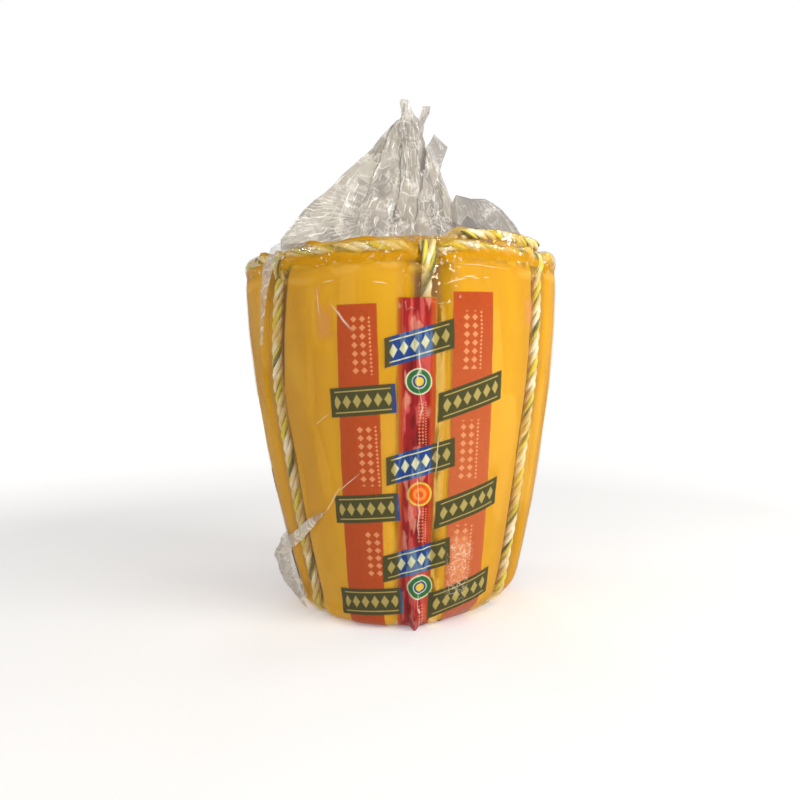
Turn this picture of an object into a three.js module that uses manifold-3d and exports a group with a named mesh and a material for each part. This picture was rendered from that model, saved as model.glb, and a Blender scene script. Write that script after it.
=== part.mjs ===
import * as THREE from 'three';
import { mergeVertices } from 'three/addons/utils/BufferGeometryUtils.js';
import Module from 'manifold-3d';

// A whole provolone, hung in a twine cradle and sealed in a clear bag.
// Millimetres, +Z up, origin under the centre of the base, front towards -Y.
// Angles round the cheese are in degrees from the front, positive towards +X.

// The least room between two pieces.
const GAP = 0.3;

// Cheese: a tapered drum, wide end up, with a low dome on top.
const TOP_RADIUS = 108.8;
const TAPER = 35;
const TAPER_TOP = 215;
const TAPER_POWER = 1.6;
const FOOT_RADIUS = 64;
const FOOT_CORNER = 15;
const WALL_TOP = 219;
const EDGE_CORNER = [108.3, 229, 102, 233.5];
const DOME_START = [88, 240.5];
const DOME_TOP = 250;
const FOOT_WEAR = { angle: 55, level: 20, spread: 35, depth: 9, reach: 18 };
const PROFILE_ROWS = { base: 5, foot: 4, wall: 13, shoulder: 8, dome: 5 };
const COLUMNS_PER_LOBE = 10;
const COLUMN_CROWDING = 0.6;

// Grooves that the twine has pressed into the cheese: their angles at four heights.
const GROOVE_LEVELS = [225, 150, 105, 20];
const GROOVE_ANGLES = [
  [-46, -54.8, -54.5, -57.5],
  [9, 6, 5, 3],
  [57.5, 57.5, 56.5, 58],
  [117, 118, 121, 129],
  [178, 179, 180, 182],
  [243, 241, 239, 237],
];
const GROOVE_DEPTH = 8.2;
const GROOVE_REACH = 17;
const LOBE_ROUNDING = 2;
const LOBE_REACH = 48;
const RING_GROOVE_DEPTH = 2.6;
const RING_GROOVE_REACH = 9;

// Twine: one ring round the shoulder, six falls that meet in a small ring under the base.
const CORD_RADIUS = 3.4;
const CORD_LIFT = 4.2;
const CORD_SIDES = 8;
const RING_RADIUS = 104.8;
const RING_HEIGHT = 233.9;
const RING_STEPS = 54;
const RING_PULL = [4.4, 5.4];
const FALL_STEPS = 28;
const FOOT_RING_RADIUS = 9;
const FOOT_RING_STEPS = 16;
const HITCH_SIZE = [6.4, 5.4, 7];
const FRONT_KNOT_SIZE = [7.4, 6.4, 9.6];
const FRONT_GROOVE = 1;
const STRAND = { from: 21, to: 66, radius: 97.6, height: 240.6, sway: 1.4, steps: 12 };

// Bag: loose film that stands above the cheese, its seam at the upper left, one lower corner.
const FIN = {
  outline: [
    [-76.5, 246], [-70, 256], [-62.5, 267], [-56, 274.5], [-47, 283], [-39, 293.5], [-27, 306.5],
    [-19, 315], [-11, 326.5], [0, 340], [8, 343], [15.5, 343], [18, 332], [22, 318], [29.5, 304.5],
    [32.5, 294], [38.5, 284], [41, 269], [43, 250],
  ],
  columns: 34,
  foot: [28, 228],
  ridge: 1.6,
  pleats: 6,
  pleatDepth: 3,
};
const POCKET = {
  outline: [
    [30, 250], [36, 276], [42, 287.5], [53, 285], [63.5, 285.5], [70.5, 282],
    [76.5, 278], [86.5, 267], [91.5, 259], [94, 249],
  ],
  columns: 16,
  foot: [20, 228],
  ridge: 4,
  pleats: 2,
  pleatDepth: 1,
};
const CURTAIN_ROWS = 7;
const TONGUES = [
  {
    depth: 0,
    thickness: 3.2,
    outline: [[-2, 332], [2.5, 350], [4.5, 354], [7, 353.5], [10.5, 346], [12, 332]],
  },
  {
    depth: 4,
    thickness: 3.2,
    outline: [[11, 328], [15.5, 343.5], [20, 352], [24.5, 353], [21, 341], [18.5, 328]],
  },
  {
    depth: 1,
    thickness: 8,
    outline: [[12, 280], [19.5, 322], [25.5, 330.5], [36.5, 323], [29.5, 304.5], [23, 280]],
  },
];
const SEAM = {
  route: [[-44, 97, 243.5], [-45, 106, 238], [-47, 109.5, 226], [-49.5, 109.5, 199], [-54, 109, 178]],
  width: 12,
  thickness: 2,
  steps: 12,
};
const CORNER = {
  angles: [-86, -79, -71, -62],
  heights: [44, 34, 18, 6.5],
  stands: [3, 11, 9, 4],
  halfHeight: 3.6,
  bite: 3,
};

const radians = THREE.MathUtils.degToRad;
const lerp = THREE.MathUtils.lerp;
const clamp = THREE.MathUtils.clamp;

const twineFinish = new THREE.MeshStandardMaterial({ color: 0xe0cf86, roughness: 0.75, metalness: 0 });
const filmFinish = new THREE.MeshStandardMaterial({ color: 0xbeb4a8, roughness: 0.2, metalness: 0 });
const cheeseFinish = new THREE.MeshStandardMaterial({ color: 0xe8aa2e, roughness: 0.35, metalness: 0 });

const wasm = await Module();
wasm.setup();

// ---- Solids and booleans ----

// A closed mesh with its shared corners merged and its slivers at the poles left out.
function merged(geometry) {
  const bare = geometry.clone();
  bare.deleteAttribute('normal');
  bare.deleteAttribute('uv');
  const joined = mergeVertices(bare, 1e-4);
  const kept = [];
  for (let first = 0; first < joined.index.count; first += 3) {
    const corners = [0, 1, 2].map((step) => joined.index.getX(first + step));
    if (new Set(corners).size === 3) kept.push(...corners);
  }
  joined.setIndex(kept);
  return joined;
}

function toSolid(geometry) {
  const closed = merged(geometry);
  const vertProperties = new Float32Array(closed.attributes.position.array);
  const triVerts = new Uint32Array(closed.index.array);
  return new wasm.Manifold(new wasm.Mesh({ numProp: 3, vertProperties, triVerts }));
}

function toGeometry(solid) {
  const mesh = solid.getMesh();
  const geometry = new THREE.BufferGeometry();
  geometry.setAttribute('position', new THREE.BufferAttribute(new Float32Array(mesh.vertProperties), 3));
  geometry.setIndex(new THREE.BufferAttribute(new Uint32Array(mesh.triVerts), 1));
  return geometry;
}

function cutClear(geometry, neighbours) {
  return toGeometry(neighbours.map(toSolid).reduce((rest, other) => rest.subtract(other), toSolid(geometry)));
}

function joinAll(geometries) {
  return toGeometry(geometries.map(toSolid).reduce((whole, piece) => whole.add(piece)));
}

function around(angle, radius, height) {
  return new THREE.Vector3(radius * Math.sin(radians(angle)), -radius * Math.cos(radians(angle)), height);
}

// ---- Cheese ----

function wallRadius(height) {
  const fall = Math.max(0, (TAPER_TOP - height) / TAPER_TOP);
  return TOP_RADIUS - TAPER * fall ** TAPER_POWER;
}

function cheeseProfile() {
  const [edgeRadius, edgeHeight, lipRadius, lipHeight] = EDGE_CORNER;
  const [domeRadius, domeHeight] = DOME_START;
  const base = new THREE.Path().moveTo(0, 0).lineTo(FOOT_RADIUS, 0);
  const foot = new THREE.Path().moveTo(FOOT_RADIUS, 0);
  foot.quadraticCurveTo(wallRadius(FOOT_CORNER) - 1, 0, wallRadius(FOOT_CORNER), FOOT_CORNER);
  const wall = [];
  for (let step = 0; step < PROFILE_ROWS.wall; step += 1) {
    const height = lerp(FOOT_CORNER, WALL_TOP, step / PROFILE_ROWS.wall);
    wall.push(new THREE.Vector2(wallRadius(height), height));
  }
  const shoulder = new THREE.Path().moveTo(wallRadius(WALL_TOP), WALL_TOP);
  shoulder.quadraticCurveTo(edgeRadius, edgeHeight, lipRadius, lipHeight);
  shoulder.lineTo(domeRadius, domeHeight);
  const dome = new THREE.Path().moveTo(domeRadius, domeHeight);
  dome.quadraticCurveTo(domeRadius / 2, DOME_TOP, 0, DOME_TOP);
  return [
    ...base.getSpacedPoints(PROFILE_ROWS.base).slice(0, -1),
    ...foot.getSpacedPoints(PROFILE_ROWS.foot).slice(0, -1),
    ...wall,
    ...shoulder.getSpacedPoints(PROFILE_ROWS.shoulder).slice(0, -1),
    ...dome.getSpacedPoints(PROFILE_ROWS.dome),
  ];
}

function profileNormal(row) {
  if (row === 0) return new THREE.Vector2(0, -1);
  if (row === profile.length - 1) return new THREE.Vector2(0, 1);
  const along = profile[row + 1].clone().sub(profile[row - 1]).normalize();
  return new THREE.Vector2(along.y, -along.x);
}

function grooveAngle(index, height) {
  const angles = GROOVE_ANGLES[index % GROOVE_ANGLES.length];
  const turn = 360 * Math.floor(index / GROOVE_ANGLES.length);
  const level = clamp(height, GROOVE_LEVELS.at(-1), GROOVE_LEVELS[0]);
  const upper = Math.max(0, GROOVE_LEVELS.findIndex((mark) => mark <= level) - 1);
  const share = (GROOVE_LEVELS[upper] - level) / (GROOVE_LEVELS[upper] - GROOVE_LEVELS[upper + 1]);
  return turn + lerp(angles[upper], angles[upper + 1], share);
}

// A smooth hollow, 1 at its middle and 0 from its reach outwards.
function dip(distance, reach) {
  return 0.5 + 0.5 * Math.cos(Math.PI * Math.min(1, Math.abs(distance) / reach));
}

function grooveDepth(radius, height, angle, lobe) {
  const gaps = [0, 1].map((side) => radius * radians(angle - grooveAngle(lobe + side, height)));
  const cut = Math.min(1, gaps.reduce((sum, gap) => sum + dip(gap, GROOVE_REACH), 0));
  const swell = Math.max(...gaps.map((gap) => dip(gap, LOBE_REACH))) * Math.min(1, height / GROOVE_REACH);
  const onDome = height > EDGE_CORNER[3] ? dip(Math.max(0, DOME_START[0] - radius), GROOVE_REACH) : 1;
  return (GROOVE_DEPTH * cut + LOBE_ROUNDING * swell) * onDome;
}

function ringDepth(radius, height) {
  const distance = Math.hypot(radius - EDGE_CORNER[2], height - EDGE_CORNER[3]);
  return RING_GROOVE_DEPTH * dip(distance, RING_GROOVE_REACH);
}

// The place at a radius, moved in towards the axis where the lower corner is worn, on the right of the front.
function wornPlace(angle, radius, height) {
  const turned = dip(Math.max(0, Math.abs(angle - FOOT_WEAR.angle) - FOOT_WEAR.level), FOOT_WEAR.spread);
  const low = dip(height, FOOT_WEAR.reach);
  const outer = Math.min(1, Math.max(0, radius) / FOOT_RADIUS) ** 3;
  return around(angle, Math.max(0, radius) - FOOT_WEAR.depth * turned * low * outer, height);
}

// The point of the cheese at one row of its profile and one share of the way round, moved out by outset.
function onCheese(row, turn, outset) {
  const lobes = GROOVE_ANGLES.length;
  const lobe = Math.min(lobes - 1, Math.floor(turn * lobes + 1e-9));
  const share = turn * lobes - lobe;
  const crowded = share - COLUMN_CROWDING * Math.sin(2 * Math.PI * share) / (2 * Math.PI);
  const { x: radius, y: height } = profile[row];
  const angle = lerp(grooveAngle(lobe, height), grooveAngle(lobe + 1, height), crowded);
  const pressed = grooveDepth(radius, height, angle, lobe) + ringDepth(radius, height);
  const away = outset - pressed;
  const normal = profileNormal(row);
  return wornPlace(angle, radius + normal.x * away, height + normal.y * away);
}

function cheeseShape(outset) {
  const columns = COLUMNS_PER_LOBE * GROOVE_ANGLES.length;
  const shape = new THREE.LatheGeometry(profile, columns);
  for (let column = 0; column <= columns; column += 1) {
    profile.forEach((corner, row) => {
      const spot = onCheese(row, (column % columns) / columns, outset);
      shape.attributes.position.setXYZ(column * profile.length + row, spot.x, spot.y, spot.z);
    });
  }
  return shape;
}

// ---- Twine ----

function cordAlong(points, steps, radius) {
  const section = new THREE.Shape();
  for (let side = 0; side < CORD_SIDES; side += 1) {
    const angle = 2 * Math.PI * side / CORD_SIDES;
    const corner = [radius * Math.cos(angle), radius * Math.sin(angle)];
    if (side === 0) section.moveTo(...corner);
    else section.lineTo(...corner);
  }
  const route = new THREE.CatmullRomCurve3(points, false, 'centripetal');
  return new THREE.ExtrudeGeometry(section, { steps, extrudePath: route });
}

// How far the falls draw the ring in and down at an angle, from 0 to 1.
function ringPull(angle) {
  const pulls = GROOVE_ANGLES.map(([high]) => {
    const away = THREE.MathUtils.euclideanModulo(angle - high + 180, 360) - 180;
    return dip(radians(away) * RING_RADIUS, GROOVE_REACH);
  });
  return Math.max(...pulls);
}

function ringShape(radius) {
  const shape = new THREE.TorusGeometry(RING_RADIUS, radius, CORD_SIDES, RING_STEPS);
  const place = shape.attributes.position;
  for (let index = 0; index < place.count; index += 1) {
    const [x, y, z] = [place.getX(index), place.getY(index), place.getZ(index)];
    const angle = THREE.MathUtils.radToDeg(Math.atan2(x, -y));
    const pull = ringPull(angle);
    const spot = around(angle, Math.hypot(x, y) - RING_PULL[0] * pull, RING_HEIGHT + z - RING_PULL[1] * pull);
    place.setXYZ(index, spot.x, spot.y, spot.z);
  }
  return shape;
}

function fallPoints(index) {
  const reach = FOOT_RING_RADIUS + CORD_RADIUS + GAP;
  const height = GROOVE_DEPTH - CORD_LIFT;
  const points = [around(grooveAngle(index, 0), reach, height)];
  profile.forEach((corner, row) => {
    if (corner.x > reach + 1 && corner.y < EDGE_CORNER[1]) {
      points.push(onCheese(row, index / GROOVE_ANGLES.length, CORD_LIFT));
    }
  });
  return points;
}

function fallShape(index, radius) {
  return cordAlong(fallPoints(index), FALL_STEPS, radius);
}

function footRingShape() {
  const shape = new THREE.TorusGeometry(FOOT_RING_RADIUS, CORD_RADIUS, CORD_SIDES, FOOT_RING_STEPS);
  shape.translate(0, 0, GROOVE_DEPTH - CORD_LIFT);
  return shape;
}

function hitchShape(index, size) {
  const angle = grooveAngle(index, GROOVE_LEVELS[0]);
  const spot = around(angle, RING_RADIUS - RING_PULL[0] + 1.5, RING_HEIGHT - RING_PULL[1] - 1);
  const hitch = new THREE.SphereGeometry(1, 12, 8);
  hitch.rotateX(Math.PI / 2);
  hitch.scale(...size);
  hitch.rotateZ(radians(angle));
  hitch.translate(spot.x, spot.y, spot.z);
  return hitch;
}

function strandShape() {
  const points = [];
  for (let step = 0; step <= STRAND.steps; step += 1) {
    const share = step / STRAND.steps;
    const sway = STRAND.sway * Math.cos(2 * Math.PI * share);
    points.push(around(lerp(STRAND.from, STRAND.to, share), STRAND.radius + sway, STRAND.height - sway / 2));
  }
  return cordAlong(points, STRAND.steps, CORD_RADIUS);
}

// ---- Bag ----

// The line across the dome that the loose film stands on, from the front left to the back right.
function filmDepth(x) {
  return x < 0 ? 0.6 * x - 0.0015 * x * x : 0.28 * x;
}

// A curtain of film: a lens-shaped wall that rises from the dome to an outline, pleated from end to end.
function curtainShape({ outline, columns, foot, ridge, pleats, pleatDepth }) {
  const [footHalf, footHeight] = foot;
  const tops = new THREE.Path(outline.map((corner) => new THREE.Vector2(...corner))).getSpacedPoints(columns);
  const spots = [];
  for (let row = 0; row <= CURTAIN_ROWS; row += 1) {
    tops.forEach((top, column) => {
      const rise = row / CURTAIN_ROWS;
      const swell = column % columns === 0 ? 0 : Math.sqrt(Math.sin(Math.PI * column / columns));
      const half = swell * lerp(footHalf, ridge, Math.sqrt(rise));
      const wave = Math.sin(2 * Math.PI * (pleats * column / columns + 0.3 * rise));
      const pleat = swell * pleatDepth * (1 - rise) * wave;
      const middle = filmDepth(top.x) + pleat;
      const height = lerp(footHeight, top.y, rise);
      spots.push(new THREE.Vector3(top.x, middle - half, height));
      spots.push(new THREE.Vector3(top.x, middle + half, height));
    });
  }
  const shape = new THREE.BufferGeometry().setFromPoints(spots);
  shape.setIndex(curtainFaces(columns));
  return shape;
}

function curtainFaces(columns) {
  const at = (row, column, side) => 2 * (row * (columns + 1) + column) + side;
  const faces = [];
  const quad = (a, b, c, d) => faces.push(a, b, c, a, c, d);
  for (let column = 0; column < columns; column += 1) {
    const next = column + 1;
    for (let row = 0; row < CURTAIN_ROWS; row += 1) {
      quad(at(row, column, 0), at(row, next, 0), at(row + 1, next, 0), at(row + 1, column, 0));
      quad(at(row, column, 1), at(row + 1, column, 1), at(row + 1, next, 1), at(row, next, 1));
    }
    const top = CURTAIN_ROWS;
    quad(at(top, column, 0), at(top, next, 0), at(top, next, 1), at(top, column, 1));
    quad(at(0, column, 0), at(0, column, 1), at(0, next, 1), at(0, next, 0));
  }
  return faces;
}

function tongueShape({ depth, thickness, outline }) {
  const face = new THREE.Shape(outline.map((corner) => new THREE.Vector2(...corner)));
  const tongue = new THREE.ExtrudeGeometry(face, { depth: thickness, bevelEnabled: false });
  tongue.rotateX(Math.PI / 2);
  tongue.translate(0, depth + thickness / 2, 0);
  return tongue;
}

function seamShape() {
  const band = new THREE.Shape();
  const [half, thick] = [SEAM.width / 2, SEAM.thickness / 2];
  band.moveTo(-thick, -half).lineTo(thick, -half).lineTo(thick, half).lineTo(-thick, half);
  const route = new THREE.CatmullRomCurve3(SEAM.route.map((stop) => around(...stop)));
  return new THREE.ExtrudeGeometry(band, { steps: SEAM.steps, extrudePath: route });
}

function cornerShape() {
  const spots = CORNER.angles.flatMap((angle, index) => {
    const height = CORNER.heights[index];
    const inner = wallRadius(height) - CORNER.bite;
    return [
      around(angle, inner, height - CORNER.halfHeight),
      around(angle, wallRadius(height) + CORNER.stands[index], height),
      around(angle, inner, height + CORNER.halfHeight),
    ];
  });
  const faces = [0, 1, 2];
  const last = spots.length - 3;
  for (let first = 0; first < last; first += 3) {
    for (let side = 0; side < 3; side += 1) {
      const [a, b] = [first + side, first + (side + 1) % 3];
      faces.push(a, b + 3, b, a, a + 3, b + 3);
    }
  }
  faces.push(last, last + 2, last + 1);
  const shape = new THREE.BufferGeometry().setFromPoints(spots);
  shape.setIndex(faces);
  return shape;
}

// ---- Assembly ----

const profile = cheeseProfile();
const part = new THREE.Group();

function add(name, geometry, material) {
  const mesh = new THREE.Mesh(geometry, material);
  mesh.name = name;
  part.add(mesh);
}

const cheeseRoom = cheeseShape(GAP);
const ringRoom = ringShape(CORD_RADIUS + GAP);
const fallRooms = GROOVE_ANGLES.map((angles, index) => fallShape(index, CORD_RADIUS + GAP));
const hitches = GROOVE_ANGLES.map((angles, index) => (
  hitchShape(index, index === FRONT_GROOVE ? FRONT_KNOT_SIZE : HITCH_SIZE)
));

add('cheese', cheeseShape(0), cheeseFinish);
add('twine_ring', cutClear(ringShape(CORD_RADIUS), [cheeseRoom]), twineFinish);
GROOVE_ANGLES.forEach((angles, index) => {
  const fall = cutClear(fallShape(index, CORD_RADIUS), [cheeseRoom, ringRoom]);
  const knot = cutClear(hitches[index], [cheeseRoom, ringRoom, fallRooms[index]]);
  add(`twine_fall_${index + 1}`, fall, twineFinish);
  add(`twine_knot_${index + 1}`, knot, twineFinish);
});
add('twine_foot_ring', cutClear(footRingShape(), [cheeseRoom]), twineFinish);
add('twine_strand', cutClear(strandShape(), [cheeseRoom, ringRoom, ...hitches]), twineFinish);

const looseFilm = joinAll([curtainShape(FIN), curtainShape(POCKET), ...TONGUES.map(tongueShape)]);
add('bag_top', cutClear(looseFilm, [cheeseRoom, ringRoom, ...hitches]), filmFinish);
const seam = cutClear(seamShape(), [cheeseRoom, ringRoom, hitches[0], fallRooms[0], looseFilm]);
add('bag_seam', seam, filmFinish);
add('bag_corner', cutClear(cornerShape(), [cheeseRoom, fallRooms[0]]), filmFinish);

export default part;
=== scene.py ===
import math

import bmesh
import bpy
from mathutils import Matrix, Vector, noise


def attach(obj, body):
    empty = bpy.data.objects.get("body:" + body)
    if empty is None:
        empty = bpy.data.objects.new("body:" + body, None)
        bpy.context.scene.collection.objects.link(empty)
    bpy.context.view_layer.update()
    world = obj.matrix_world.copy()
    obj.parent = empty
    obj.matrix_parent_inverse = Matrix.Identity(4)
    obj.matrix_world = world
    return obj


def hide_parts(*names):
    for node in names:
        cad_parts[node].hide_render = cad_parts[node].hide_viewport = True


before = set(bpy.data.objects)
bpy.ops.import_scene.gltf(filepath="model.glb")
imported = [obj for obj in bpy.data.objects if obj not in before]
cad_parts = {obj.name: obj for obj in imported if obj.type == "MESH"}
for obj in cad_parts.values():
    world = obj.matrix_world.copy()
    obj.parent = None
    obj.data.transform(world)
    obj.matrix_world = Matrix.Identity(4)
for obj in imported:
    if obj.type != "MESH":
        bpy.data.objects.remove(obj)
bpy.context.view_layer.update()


# ---- View ----
# The pack is seen from the front, level with its upper half, by a camera that is held slightly turned.
# Distances are in metres and angles round the cheese in degrees from the front, positive towards +X.

EYE = (0.0, -0.515, 0.162)
EYE_ROLL = 1.4
LENS = 32.22

eye = bpy.data.cameras.new("eye")
eye.lens = LENS
eye.sensor_width = 36.0
eye.shift_x = -0.0034
eye.shift_y = -0.041
eye.clip_start = 0.01
eye_object = bpy.data.objects.new("eye", eye)
eye_object.location = EYE
eye_object.rotation_euler = (math.pi / 2, math.radians(EYE_ROLL), 0.0)
bpy.context.scene.collection.objects.link(eye_object)
bpy.context.scene.camera = eye_object


# ---- Cheese ----
# One stretched-curd cheese, a tapered drum with a low dome, cut into six lobes by the twine it hung in.
# Its thin waxy rind is amber and mottled; painted shade darkens it in the grooves of the twine, and it is
# darker at the crest of its lip.

TOP_RADIUS = 0.1088
TAPER = 0.035
TAPER_TOP = 0.215
TAPER_POWER = 1.6
FOOT_RADIUS = 0.064
FOOT_CORNER = 0.015
WALL_TOP = 0.219
EDGE_CORNER = (0.1083, 0.229)
LIP = (0.102, 0.2335)
DOME_START = (0.088, 0.2405)
DOME_TOP = 0.25
FOOT_WEAR_ANGLE = 55.0
FOOT_WEAR_LEVEL = 20.0
FOOT_WEAR_SPREAD = 35.0
FOOT_WEAR_DEPTH = 0.009
FOOT_WEAR_REACH = 0.018
GROOVE_LEVELS = (0.225, 0.150, 0.105, 0.020)
GROOVE_ANGLES = (
    (-46.0, -54.8, -54.5, -57.5),
    (9.0, 6.0, 5.0, 3.0),
    (57.5, 57.5, 56.5, 58.0),
    (117.0, 118.0, 121.0, 129.0),
    (178.0, 179.0, 180.0, 182.0),
    (243.0, 241.0, 239.0, 237.0),
)
FRONT_GROOVE = 1
OUTLINE_STEPS = {"base": 40, "corner": 20, "wall": 120, "shoulder": 24, "dome": 60}
SHOULDER_RADIUS = 0.08
SHOULDER_HEIGHT = 0.2
LOBES = len(GROOVE_ANGLES)
GROOVE_DEPTH = 0.0082
GROOVE_REACH = 0.017
LOBE_ROUNDING = 0.002
LOBE_REACH = 0.048
RING_GROOVE_DEPTH = 0.0026
RING_GROOVE_REACH = 0.009
COLUMN_CROWDING = 0.6
RIND_SET_BACK = 0.0006
LIP_PLACE = (0.0965, 0.2363)
LIP_REACH = 0.0075
LIP_RISE = 0.0062
PEAK_PLACE = (0.1062, 0.2290)
PEAK_REACH = 0.0045
PEAK_RISE = 0.0024


def tint(red, green, blue):
    """A display colour, 0 to 255, as the linear colour that shaders take."""
    shares = [value / 255 for value in (red, green, blue)]
    linear = [s / 12.92 if s <= 0.04045 else ((s + 0.055) / 1.055) ** 2.4 for s in shares]
    return (*linear, 1.0)


def blend(first, second, share):
    return first + (second - first) * share


def held(share):
    """The share, held between 0 and 1."""
    return min(1.0, max(0.0, share))


def dip(distance, reach):
    """1 at no distance, falling smoothly to 0 at its reach."""
    return 0.5 + 0.5 * math.cos(math.pi * min(1.0, abs(distance) / reach))


def around(angle, radius, height):
    turn = math.radians(angle)
    return Vector((radius * math.sin(turn), -radius * math.cos(turn), height))


def wrapped(angle):
    """The same angle, from -180 to 180 degrees."""
    return (angle + 180.0) % 360.0 - 180.0


def running_lengths(spots):
    """How far along a path each of its points lies."""
    marks = [0.0]
    for before, after in zip(spots, spots[1:]):
        marks.append(marks[-1] + math.dist(before, after))
    return marks


def place_along(marks, mark):
    """The stretch of a path that holds one of its lengths, and the share of that stretch."""
    part = 0
    while part < len(marks) - 2 and marks[part + 1] < mark:
        part += 1
    return part, (mark - marks[part]) / (marks[part + 1] - marks[part])


def wall_radius(height):
    fall = max(0.0, (TAPER_TOP - height) / TAPER_TOP)
    return TOP_RADIUS - TAPER * fall**TAPER_POWER


def dome_height(radius):
    if radius > DOME_START[0]:
        return blend(DOME_START[1], LIP[1], (radius - DOME_START[0]) / (LIP[0] - DOME_START[0]))
    return DOME_TOP - (DOME_TOP - DOME_START[1]) * (radius / DOME_START[0]) ** 2


def curve_through(start, handle, end, steps):
    spots = []
    for step in range(steps):
        share = step / steps
        first = Vector(start).lerp(Vector(handle), share)
        second = Vector(handle).lerp(Vector(end), share)
        spots.append(first.lerp(second, share))
    return spots


def even_profile(rows):
    """The cheese's outline from the middle of its base to the top of its dome, at even steps."""
    foot_top = (wall_radius(FOOT_CORNER), FOOT_CORNER)
    wall_top = (wall_radius(WALL_TOP), WALL_TOP)
    base, corner, wall, shoulder, dome = OUTLINE_STEPS.values()
    spots = [Vector((FOOT_RADIUS * step / base, 0.0)) for step in range(base)]
    spots += curve_through((FOOT_RADIUS, 0.0), (foot_top[0] - 0.001, 0.0), foot_top, corner)
    heights = [blend(FOOT_CORNER, WALL_TOP, step / wall) for step in range(wall)]
    spots += [Vector((wall_radius(height), height)) for height in heights]
    spots += curve_through(wall_top, EDGE_CORNER, LIP, shoulder)
    radii = [blend(LIP[0], 0.0, step / dome) for step in range(dome + 1)]
    spots += [Vector((radius, dome_height(radius))) for radius in radii]
    marks = running_lengths(spots)
    profile = []
    for row in range(rows + 1):
        part, share = place_along(marks, marks[-1] * row / rows)
        profile.append(spots[part].lerp(spots[part + 1], share))
    return profile


def profile_normals(profile):
    normals = []
    for row in range(len(profile)):
        before = profile[max(0, row - 2)]
        after = profile[min(len(profile) - 1, row + 2)]
        along = (after - before).normalized()
        normals.append(Vector((along.y, -along.x)))
    normals[0] = Vector((0.0, -1.0))
    normals[-1] = Vector((0.0, 1.0))
    return normals


def groove_angle(index, height):
    angles = GROOVE_ANGLES[index % LOBES]
    turn = 360.0 * (index // LOBES)
    level = min(GROOVE_LEVELS[0], max(GROOVE_LEVELS[-1], height))
    upper = 0
    while upper < 2 and GROOVE_LEVELS[upper + 1] > level:
        upper += 1
    share = (GROOVE_LEVELS[upper] - level) / (GROOVE_LEVELS[upper] - GROOVE_LEVELS[upper + 1])
    return turn + blend(angles[upper], angles[upper + 1], share)


def lobe_place(turn, height):
    """The angle at one share of the way round, with columns crowded at the grooves, and its lobe."""
    lobe = min(LOBES - 1, int(turn * LOBES + 1e-9))
    share = turn * LOBES - lobe
    crowded = share - COLUMN_CROWDING * math.sin(2 * math.pi * share) / (2 * math.pi)
    return blend(groove_angle(lobe, height), groove_angle(lobe + 1, height), crowded), lobe


def groove_gaps(radius, height, angle, lobe):
    """How far along the surface a point is from the grooves at both sides of its lobe."""
    return [radius * math.radians(angle - groove_angle(lobe + side, height)) for side in (0, 1)]


def all_gaps(spot):
    """How far along the surface a corner of a mesh is from each groove."""
    radius = math.hypot(spot.x, spot.y)
    angle = math.degrees(math.atan2(spot.x, -spot.y))
    return [radius * math.radians(wrapped(angle - groove_angle(index, spot.z))) for index in range(LOBES)]


def on_dome(radius, height):
    return dip(max(0.0, DOME_START[0] - radius), GROOVE_REACH) if height > LIP[1] else 1.0


def lobe_swell(height, gaps):
    return max(dip(gap, LOBE_REACH) for gap in gaps) * min(1.0, height / GROOVE_REACH)


def worn_place(angle, radius, height):
    """The place at a radius, moved in where the lower corner is worn, on the right of the front."""
    turned = dip(max(0.0, abs(angle - FOOT_WEAR_ANGLE) - FOOT_WEAR_LEVEL), FOOT_WEAR_SPREAD)
    outer = held(radius / FOOT_RADIUS) ** 3
    worn = FOOT_WEAR_DEPTH * turned * dip(height, FOOT_WEAR_REACH) * outer
    return around(angle, max(0.0, radius) - worn, height)


def add_grid(shape, columns, rows, place, slot=0, length=1.0):
    """A grid of faces whose corners lie at place(across, up), both 0 to 1, closed where its ends meet."""
    uv = shape.loops.layers.uv.verify()
    made = bmesh.ops.create_grid(shape, x_segments=columns, y_segments=rows, size=0.5, calc_uvs=True)["verts"]
    faces = {face for corner in made for face in corner.link_faces}
    for face in faces:
        face.smooth = True
        face.material_index = slot
        for loop in face.loops:
            loop[uv].uv.y *= length
    for corner in made:
        corner.co = place(corner.co.x + 0.5, corner.co.y + 0.5)
    bmesh.ops.remove_doubles(shape, verts=made, dist=1e-6)
    return shape


def make_piece(shape, name, finishes, closed=True):
    """The mesh as a piece of the pack, riding on it, in its finishes."""
    if closed:
        bmesh.ops.recalc_face_normals(shape, faces=shape.faces)
    mesh = bpy.data.meshes.new(name)
    shape.to_mesh(mesh)
    shape.free()
    for finish in finishes:
        mesh.materials.append(finish)
    piece = bpy.data.objects.new(name, mesh)
    bpy.context.scene.collection.objects.link(piece)
    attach(piece, "root")
    return piece


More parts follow.
